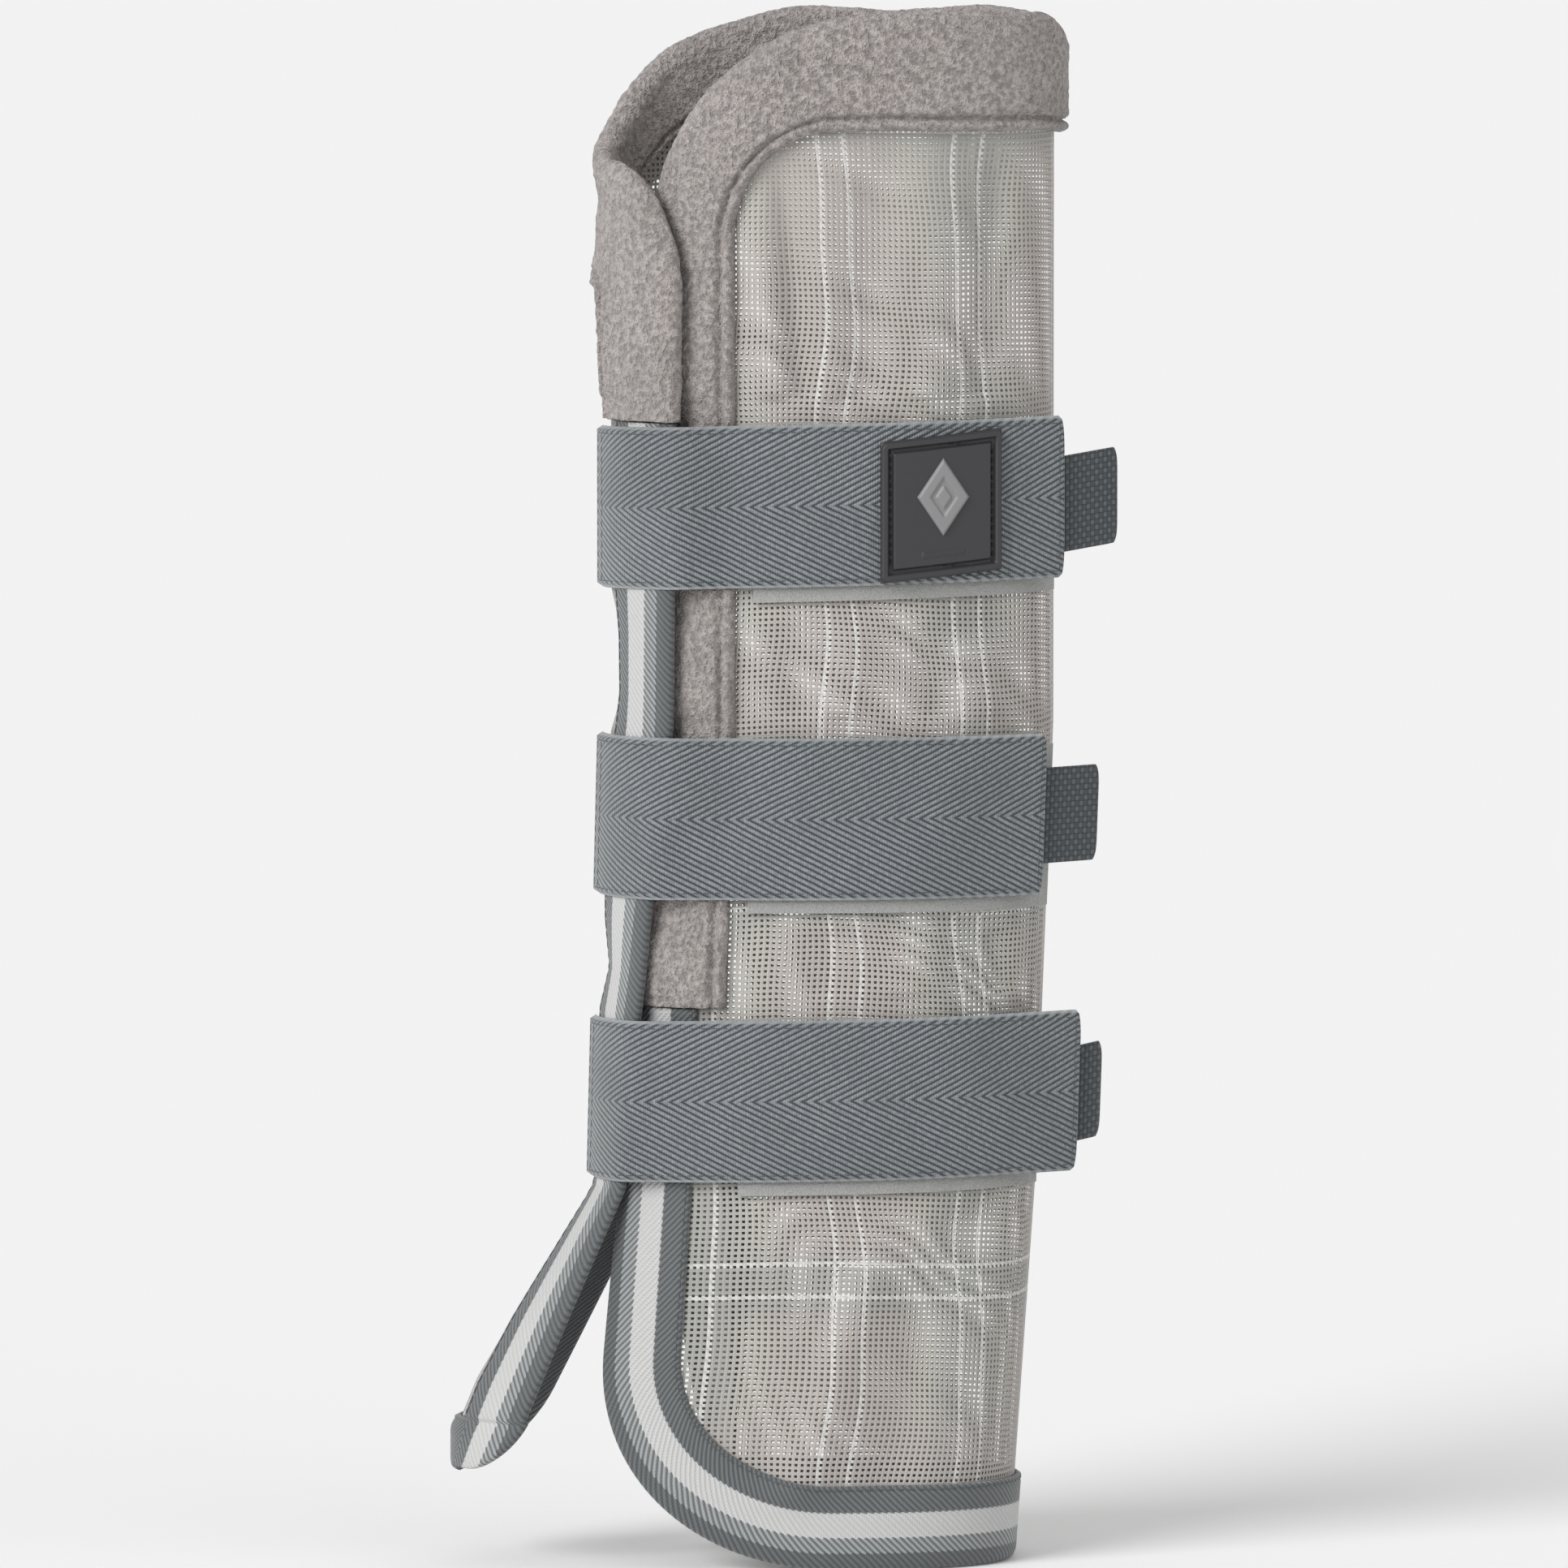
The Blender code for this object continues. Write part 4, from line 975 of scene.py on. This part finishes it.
class FLYBOOT_OT_net(bpy.types.Operator):
    """Make the rolled panel of plaid net and its flap"""

    bl_idname = "fly_boot.net"
    bl_label = "Net"

    def execute(self, context):
        sizes, colours = settings()
        material = shared("net", net_material, colours, sizes.net_pitch)
        tucked = NET_TUCKED
        bottom, top = BOTTOM_EDGE + tucked, TOP_EDGE - tucked

        def front_place(u, v):
            return u + net_drift(u, v, FRONT_REACH), v + rise_wave(u, v)

        def front_keep(distance, z):
            return (z < front_top(-distance, tucked)) & (z > front_bottom(-distance, tucked))

        size = (FRONT_REACH - tucked, tucked - FRONT_REACH, bottom, top)
        front = net_piece("net_front", "panel", size, front_place, front_keep, "panel",
                          ["mesh_front"], sizes, material)

        whole = float(back_reach(HEIGHT))

        def back_place(u, v):
            reach = back_reach(np.maximum(v, TAIL_TOP))
            return u / whole * reach, v + rise_wave(u, v)

        def back_keep(distance, z):
            cut = np.where(z < TAIL_TOP, back_cut(z) - tucked, 1.0)
            return (z < flap_top(distance, tucked)) & (distance < cut)

        back = net_piece("net_back", "panel", (whole, 0.0, bottom, top), back_place, back_keep, "panel",
                         ["mesh_back", "mesh_back_foot"], sizes, material)

        reach = max(FLAP_REACH[1:])

        def flap_place(u, v):
            return u / reach * (flap_reach(v) - tucked), v

        def flap_keep(distance, z):
            return z < flap_top(whole + distance, tucked)

        flap = net_piece("net_flap", "flap", (reach, 0.0, TAIL_TOP, top), flap_place, flap_keep, FLAP_BLEND,
                         ["flap_mesh"], sizes, material)

        end = float(flap_reach(TAIL_TOP))

        def tail_place(u, v):
            share = (u + TAIL_BACK) / (end + TAIL_BACK)
            return -TAIL_BACK + tucked / 2 + share * (flap_reach(v) + TAIL_BACK - tucked), v

        def tail_keep(distance, z):
            return z > tail_foot(distance, tucked)

        size = (end + TAIL_BACK, -TAIL_BACK, TAIL_FOOT, TAIL_TOP)
        tail = net_piece("net_corner", "flap", size, tail_place, tail_keep, "flap",
                         ["flap_corner_mesh"], sizes, material)
        return {"FINISHED"}


class FLYBOOT_OT_fleece(bpy.types.Operator):
    """Make the fleece bindings round the top and down the front edge"""

    bl_idname = "fly_boot.fleece"
    bl_label = "Fleece"

    def execute(self, context):
        sizes, colours = settings()
        material = shared("fleece", fleece_material, colours)
        profile = soft_profile(FLEECE_WIDTH, FLEECE_FACE, FLEECE_OVERHANG, 0.0040, 0.62, 0.0011, 0.74)
        bulge = lambda z: sizes.fleece_bulge * between_straps(z)

        low = FLEECE_FRONT_END + 0.0003
        centre = (FRONT_REACH - TOP_CORNER[0], TOP_EDGE - TOP_CORNER[1])
        inner = (FRONT_REACH - FLEECE_WIDTH - TOP_BORDER[0], TOP_EDGE - FLEECE_WIDTH - TOP_BORDER[1])
        edge = [upright(FRONT_REACH, low, centre[1]),
                corner_ring(centre, TOP_CORNER, math.pi / 2, 0.0, 80, 1)]
        border = [upright(FRONT_REACH - FLEECE_WIDTH, low, inner[1]),
                  corner_ring(inner, TOP_BORDER, math.pi / 2, 0.0, 80, 1)]
        reach = float(back_reach(HEIGHT))
        share = np.linspace(0, 1, 240)[1:]
        over, under = (-start[0] + share * (reach + start[0]) for start in (centre, inner))
        top = flap_top(np.maximum(over, 0)) - rim_sag(over)
        edge = np.concatenate([mirrored(np.concatenate(edge)), np.stack([over, top], axis=1)])
        low = flap_top(np.maximum(under, 0), FLEECE_WIDTH) - 0.2 * rim_sag(under)
        border = np.concatenate([mirrored(np.concatenate(border)), np.stack([under, low], axis=1)])
        rings = (edge, border)
        rim = binding("fleece_rim", "panel", rings, FLEECE_WIDTH, profile, 0.00085, "panel",
                      ["fleece_front_edge", "fleece_top_front", "fleece_top_back"], material, bulge, curls)

        start = flap_corner_start()
        low = TOP_EDGE - FLAP_CORNER[1]
        rings = []
        for size in (FLAP_CORNER, inside(FLAP_CORNER, FLEECE_WIDTH)):
            first = math.asin((reach - start) / size[0])
            ring = corner_ring((start - reach, low), size, first, math.pi / 2, 60, 1)
            ring[:, 1] -= fold_sag(ring[:, 0]) * (ring[:, 1] - low) / (ring[0, 1] - low)
            ring[:, 0] -= (flap_reach(HEIGHT) - flap_reach(ring[:, 1])) * np.linspace(0, 1, 60)
            rings.append(ring)
        edge, border = rings
        heights = np.linspace(low, FLEECE_FLAP_END, 30)[1:]
        edge = np.concatenate([edge, np.stack([flap_reach(heights), heights], axis=1)])
        border = np.concatenate([border, np.stack([flap_reach(heights) - FLEECE_WIDTH, heights], axis=1)])
        corner_piece = binding("fleece_corner", "flap", (edge, border), FLEECE_WIDTH, profile, 0.0007,
                               FLAP_BLEND, ["flap_fleece"], material, bulge, curls)
        return {"FINISHED"}


class FLYBOOT_OT_tape(bpy.types.Operator):
    """Make the striped tape round the lower edges, with its sewing"""

    bl_idname = "fly_boot.tape"
    bl_label = "Tape"

    def execute(self, context):
        _, colours = settings()
        stripes = ((-2.0, 4.6, colours.tape_edge), (4.6, 9.2, colours.tape_light),
                   (9.2, 17.0, colours.tape_white))
        material = shared("tape", tape_material, "tape", colours, stripes)
        hem_look = shared("hem_tape", tape_material, "hem_tape", colours, ())
        profile = soft_profile(TAPE_WIDTH, TAPE_FACE, TAPE_OVERHANG, 0.0016, 0.25, 0.0015, 1.0)
        thread = shared("dark_thread", thread_material, "dark_thread", colours.thread)

        corner = FRONT_REACH - BOTTOM_CORNER[0]
        centre = (corner, BOTTOM_EDGE + BOTTOM_CORNER[1])
        heights = np.linspace(FLEECE_FRONT_END - 0.0003, centre[1], 40)
        edge, border = upright_rings(FRONT_REACH, heights, TAPE_WIDTH)
        turned = corner_rings(centre, BOTTOM_CORNER, TAPE_WIDTH, math.pi / 2, 0.0, 60, -1)
        edges, borders = [mirrored(edge), mirrored(turned[0])], [mirrored(border), mirrored(turned[1])]
        foot = np.linspace(-corner, BACK_FOOT - 0.0003, 120)[1:]
        edges.append(np.stack([foot, np.full_like(foot, BOTTOM_EDGE)], axis=1))
        borders.append(np.stack([foot, np.full_like(foot, BOTTOM_EDGE + TAPE_WIDTH)], axis=1))
        rings = (np.concatenate(edges), np.concatenate(borders))
        binding("tape_rim", "panel", rings, TAPE_WIDTH, profile, 0.0018, "panel",
                ["tape_front_edge", "tape_foot_front", "tape_foot_back"], material)
        sewn = rings[0] + (rings[1] - rings[0]) * (1 - 0.0013 / TAPE_WIDTH)
        stitches("tape_rim_sewing", "panel", sewn, TAPE_FACE - 0.0001, "panel", thread)

        share = np.linspace(0, 1, 40)
        z = BOTTOM_EDGE + (TAIL_TOP - 0.0003 - BOTTOM_EDGE) * share**2
        turn = share**2 * math.pi / 2
        edge = np.stack([back_cut(z), z], axis=1)
        border = np.stack([back_cut(z) - TAPE_WIDTH * np.sin(turn), z + TAPE_WIDTH * np.cos(turn)], axis=1)
        binding("tape_cut", "panel", (edge, border), TAPE_WIDTH, profile, 0.0018, "panel",
                ["tape_back_edge"], material)

        reach = float(flap_reach(TAIL_FOOT))
        tip_top = TAIL_FOOT + TAIL_TIP[1]
        heights = np.linspace(FLEECE_FLAP_END - 0.0005, tip_top, 160)
        edge = np.stack([flap_reach(heights), heights], axis=1)
        border = edge - np.array([TAPE_WIDTH, 0.0])
        turned = corner_ring((reach - TAIL_TIP[0], tip_top), TAIL_TIP, math.pi / 2, 0.25, 30, -1)[1:]
        straight = np.stack([np.full(29, reach - TAPE_WIDTH), turned[:, 1]], axis=1)
        rings = (np.concatenate([edge, turned]), np.concatenate([border, straight]))
        binding("tape_flap", "flap", rings, TAPE_WIDTH, profile, 0.0018, "flap",
                ["flap_tape"], material)
        sewn = (edge + (border - edge) * (1 - 0.0013 / TAPE_WIDTH))
        stitches("tape_flap_sewing", "flap", sewn, TAPE_FACE - 0.0001, "flap", thread)

        hem = soft_profile(HEM_WIDTH, TAPE_FACE, TAPE_OVERHANG, 0.0016, 0.25, 0.0015, 1.0)
        first = reach - TAPE_WIDTH + 0.004
        heel = TAIL_BACK - TAIL_HEEL[0]
        along = np.linspace(first, -heel, 42)
        edges = [np.stack([along, np.full_like(along, TAIL_FOOT)], axis=1)]
        borders = [edges[0] + np.array([0.0, HEM_WIDTH])]
        centre = (heel, TAIL_FOOT + TAIL_HEEL[1])
        turned = corner_rings(centre, TAIL_HEEL, HEM_WIDTH, 0.0, math.pi / 2, 20, -1)
        edges.append(mirrored(turned[0][1:]))
        borders.append(mirrored(turned[1][1:]))
        rise = np.linspace(TAIL_FOOT + TAIL_HEEL[1], TAIL_TOP - 0.0003, 30)[1:]
        edges.append(np.stack([np.full_like(rise, -TAIL_BACK), rise], axis=1))
        borders.append(edges[-1] + np.array([HEM_WIDTH, 0.0]))
        rings = (np.concatenate(edges), np.concatenate(borders))
        binding("hem_corner", "flap", rings, HEM_WIDTH, hem, 0.0016, "flap", ["flap_hem"],
                hem_look)
        return {"FINISHED"}


def webbing_face(u, v):
    """A strap's outer side, thinner at its selvedges."""
    edge = np.clip((0.5 - np.abs(v - 0.5)) * STRAP_WIDTH / 0.0012, 0, 1)
    return WEBBING * (edge ** 0.5 - 0.5)


class FLYBOOT_OT_straps(bpy.types.Operator):
    """Make the webbing straps, their sewing, hook patches, loop strips and pull tabs"""

    bl_idname = "fly_boot.straps"
    bl_label = "Straps"

    def execute(self, context):
        _, colours = settings()
        webbing = shared("webbing", webbing_material, colours, STRAP_WIDTH)
        basket = shared("tab", tab_material, colours)
        thread = shared("dark_thread", thread_material, "dark_thread", colours.thread)
        hook = shared("hook", fuzz_material, "hook", colours.hook)
        loop = shared("loop", fuzz_material, "loop", colours.loop)
        for name in STRAPS:
            self.strap(name, webbing, basket, thread)
            for node, look in ((f"hook_{name}", hook), (f"loop_{name}", loop)):
                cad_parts[node].data.materials.clear()
                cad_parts[node].data.materials.append(look)
        return {"FINISHED"}

    def strap(self, name, webbing, basket, thread):
        """One strap with its pull tab and five rows of sewing."""
        low, rise, _ = STRAPS[name]
        body = f"{name}_strap"
        whole = lambda z: (np.zeros_like(z), from_tip(name, z, 0.0))
        made = strap_solid(name, f"webbing_{name}", whole, (0.0, STRAP_WIDTH), (200, 40), webbing_face,
                           -WEBBING / 2, body, [f"strap_{name}"], webbing, 0.0012)
        length = float(from_tip(name, low, 0.0))

        under = -WEBBING / 2 - 0.0005
        tab_ends = lambda z: (from_tip(name, z, TAB_SEWN), from_tip(name, z, -TAB_SHOWS[name]))
        middle = STRAP_WIDTH / 2
        levels = (middle - TAB_WIDTH / 2, middle + TAB_WIDTH / 2)
        tab_face = lambda u, v: under - 0.0001 - 0.0006 * (np.maximum(u - 0.9, 0) / 0.1) ** 2
        strap_solid(name, f"pull_{name}", tab_ends, levels, (48, 40), tab_face, under - 0.0019, body,
                    [f"tab_{name}"], basket, 0.0012)

        face, inset = WEBBING / 2, 0.0022
        sewn_end, box = 0.0045, 0.0105
        up = np.linspace(inset, STRAP_WIDTH - inset, 30)
        tip = from_tip(name, low + rise + up, 0.0016)

        height = lambda level, share: low + rise * share + level
        row_run = np.linspace(sewn_end, length - 0.0018, 60)
        rows = {
            "end": [(sewn_end, height(v, 0.0)) for v in up],
            "box": [(box, height(v, 0.0)) for v in up],
            "tip": list(zip(tip, height(up, 1.0))),
            "upper": [(d, height(STRAP_WIDTH - inset, d / length)) for d in row_run],
            "lower": [(d, height(inset, d / length)) for d in row_run],
        }
        for row, path in rows.items():
            stitches(f"sewing_{name}_{row}", "strap", path, face, body, thread)


def rounded_distance(x, y, half_x, half_y, corner):
    """How far inside a rounded rectangle a point is."""
    over_x, over_y = np.abs(x) - half_x + corner, np.abs(y) - half_y + corner
    outside = np.hypot(np.maximum(over_x, 0), np.maximum(over_y, 0))
    return corner - outside - np.minimum(np.maximum(over_x, over_y), 0)


class FLYBOOT_OT_badge(bpy.types.Operator):
    """Make the rubber badge with its rim, sewn channel and plain lozenge"""

    bl_idname = "fly_boot.badge"
    bl_label = "Badge"

    def execute(self, context):
        _, colours = settings()
        rubber = shared("badge", rubber_material, "badge", colours.badge, 0.42)
        raised = shared("motif", rubber_material, "motif", colours.motif, 0.38)
        thread = shared("black_thread", thread_material, "black_thread", colours.badge_thread)
        width, height = BADGE_SIZE
        lowest = (STRAP_WIDTH - height) / 2
        ends = lambda z: (from_tip("top", z, BADGE_FROM_TIP + width), from_tip("top", z, BADGE_FROM_TIP))

        def face(u, v):
            depth = rounded_distance((u - 0.5) * width, (v - 0.5) * height, width / 2, height / 2, 0.0022)
            rim = ramp(depth, 0.0, 0.0007) * (1 - ramp(depth, 0.0021, 0.0026))
            plate = ramp(depth, 0.0037, 0.0041)
            bar = rounded_distance((u - 0.5) * width, (v - 0.17) * height, 0.0065, 0.0010, 0.0004)
            raised_parts = 0.0018 * rim + 0.0013 * plate * (1 - rim)
            return BADGE_FACE + 0.0004 + raised_parts + 0.0004 * ramp(bar, 0.0, 0.0003)

        strap_solid("top", "badge_plate", ends, (lowest, lowest + height), (110, 126), face, BADGE_FACE,
                    "top_strap", ["badge"], rubber)

        across, up = MOTIF_SIZE
        centre_back = BADGE_FROM_TIP + width / 2
        plate_top = BADGE_FACE + 0.0017
        low, rise, _ = STRAPS["top"]
        self.lozenge(across, up, centre_back, plate_top, raised)
        middle = STRAP_WIDTH / 2 + low + rise * 0.6
        inset = 0.0031
        z_low, z_high = middle - height / 2 + inset, middle + height / 2 - inset
        far = float(from_tip("top", middle, BADGE_FROM_TIP + width - inset))
        near = float(from_tip("top", middle, BADGE_FROM_TIP + inset))
        path = [(far, z_low), (near, z_low), (near, z_high), (far, z_high), (far, z_low)]
        stitches("badge_sewing", "strap", path, BADGE_FACE + 0.0006, "top_strap", thread,
                 length=0.0017, gap=0.0009, thick=0.00028)
        return {"FINISHED"}

    def lozenge(self, across, up, back, base, material):
        """A raised lozenge with a sloping edge and a hollow middle."""
        low, rise, _ = STRAPS["top"]
        bm = flat_grid(40, 40)
        grown = bmesh.ops.extrude_face_region(bm, geom=bm.faces[:], use_keep_orig=True)
        outer = {item for item in grown["geom"] if isinstance(item, bmesh.types.BMVert)}
        side = np.array([vert in outer for vert in bm.verts])
        cells = corners_of(bm)
        u, v = (1 + cells[:, 0] - cells[:, 1]) / 2, (cells[:, 0] + cells[:, 1]) / 2
        z = low + rise * 0.6 + STRAP_WIDTH / 2 + (v - 0.5) * up + 0.0025
        distance = from_tip("top", z, back) + (u - 0.5) * across
        depth = 0.5 - np.maximum(np.abs(cells[:, 0] - 0.5), np.abs(cells[:, 1] - 0.5))
        hollow = 0.0007 * (ramp(depth, 0.22, 0.27) - ramp(depth, 0.33, 0.38))
        crown = 0.0009 * ramp(depth, 0.0, 0.05) - hollow
        offset = np.where(side, base + 0.0002 + crown, base)
        mark_cloth(bm, distance, z)
        move_to(bm, wrapped("strap", distance, z, offset))
        bmesh.ops.recalc_face_normals(bm, faces=bm.faces)
        return made_object("badge_lozenge", bm, material, "top_strap", ["badge_motif"])


def sun_light(name, place, strength, spread):
    """A soft light from a direction; the spread is in degrees."""
    data = bpy.data.lights.new(name, "SUN")
    data.energy = strength
    data.angle = math.radians(spread)
    made = bpy.data.objects.new(name, data)
    bpy.context.scene.collection.objects.link(made)
    made.rotation_euler = (-Vector(place)).to_track_quat("-Z", "Y").to_euler()


class FLYBOOT_OT_stage(bpy.types.Operator):
    """Make the floor, the lights and the camera"""

    bl_idname = "fly_boot.stage"
    bl_label = "Stage"

    def execute(self, context):
        sizes, colours = settings()
        bm = bmesh.new()
        bmesh.ops.create_circle(bm, cap_ends=True, segments=96, radius=FLOOR_RADIUS)
        mesh = bpy.data.meshes.new("floor")
        bm.to_mesh(mesh)
        bm.free()
        mesh.materials.append(Weave("floor", 0.9).finish(tuple(colours.floor)))
        floor = bpy.data.objects.new("floor", mesh)
        bpy.context.scene.collection.objects.link(floor)
        floor.location.z = -0.0004

        world = bpy.data.worlds.new("studio")
        bpy.context.scene.world = world
        world.use_nodes = True
        background = world.node_tree.nodes["Background"]
        background.inputs[0].default_value = (1.0, 1.0, 1.0, 1.0)
        background.inputs[1].default_value = SKY_STRENGTH
        for name, place, strength, spread in SUNS:
            sun_light(name, place, strength, spread)

        data = bpy.data.cameras.new("camera")
        camera = bpy.data.objects.new("camera", data)
        bpy.context.scene.collection.objects.link(camera)
        aim = Vector(CAMERA_AIM)
        camera.location = (aim.x, -sizes.camera_distance, sizes.camera_rise)
        camera.rotation_euler = (aim - camera.location).to_track_quat("-Z", "Y").to_euler()
        data.sensor_width = 36.0
        data.lens = data.sensor_width * (aim - camera.location).length / CAMERA_SEES
        data.clip_end = 200.0
        bpy.context.scene.camera = camera
        bpy.context.scene.view_settings.view_transform = "Standard"
        return {"FINISHED"}


OPERATORS = (FLYBOOT_OT_stage, FLYBOOT_OT_net, FLYBOOT_OT_fleece, FLYBOOT_OT_tape, FLYBOOT_OT_straps,
             FLYBOOT_OT_badge)


class FLYBOOT_PT_panel(bpy.types.Panel):
    """The boot's pieces and settings"""

    bl_label = "Fly boot"
    bl_idname = "FLYBOOT_PT_panel"
    bl_space_type = "VIEW_3D"
    bl_region_type = "UI"
    bl_category = "Fly boot"

    def draw(self, context):
        for group in (context.scene.fly_boot_sizes, context.scene.fly_boot_colours):
            for name in group.bl_rna.properties.keys():
                if name not in ("rna_type", "name"):
                    self.layout.prop(group, name)
        for operator in OPERATORS:
            self.layout.operator(operator.bl_idname)


CLASSES = (FLYBOOT_sizes, FLYBOOT_colours, *OPERATORS, FLYBOOT_PT_panel)


def register():
    for made in CLASSES:
        bpy.utils.register_class(made)
    bpy.types.Scene.fly_boot_sizes = PointerProperty(type=FLYBOOT_sizes)
    bpy.types.Scene.fly_boot_colours = PointerProperty(type=FLYBOOT_colours)


def unregister():
    del bpy.types.Scene.fly_boot_colours
    del bpy.types.Scene.fly_boot_sizes
    for made in reversed(CLASSES):
        bpy.utils.unregister_class(made)


def main():
    """Makes every piece."""
    register()
    for operator in OPERATORS:
        getattr(bpy.ops.fly_boot, operator.bl_idname.split(".")[1])()


if __name__ == "__main__":
    main()
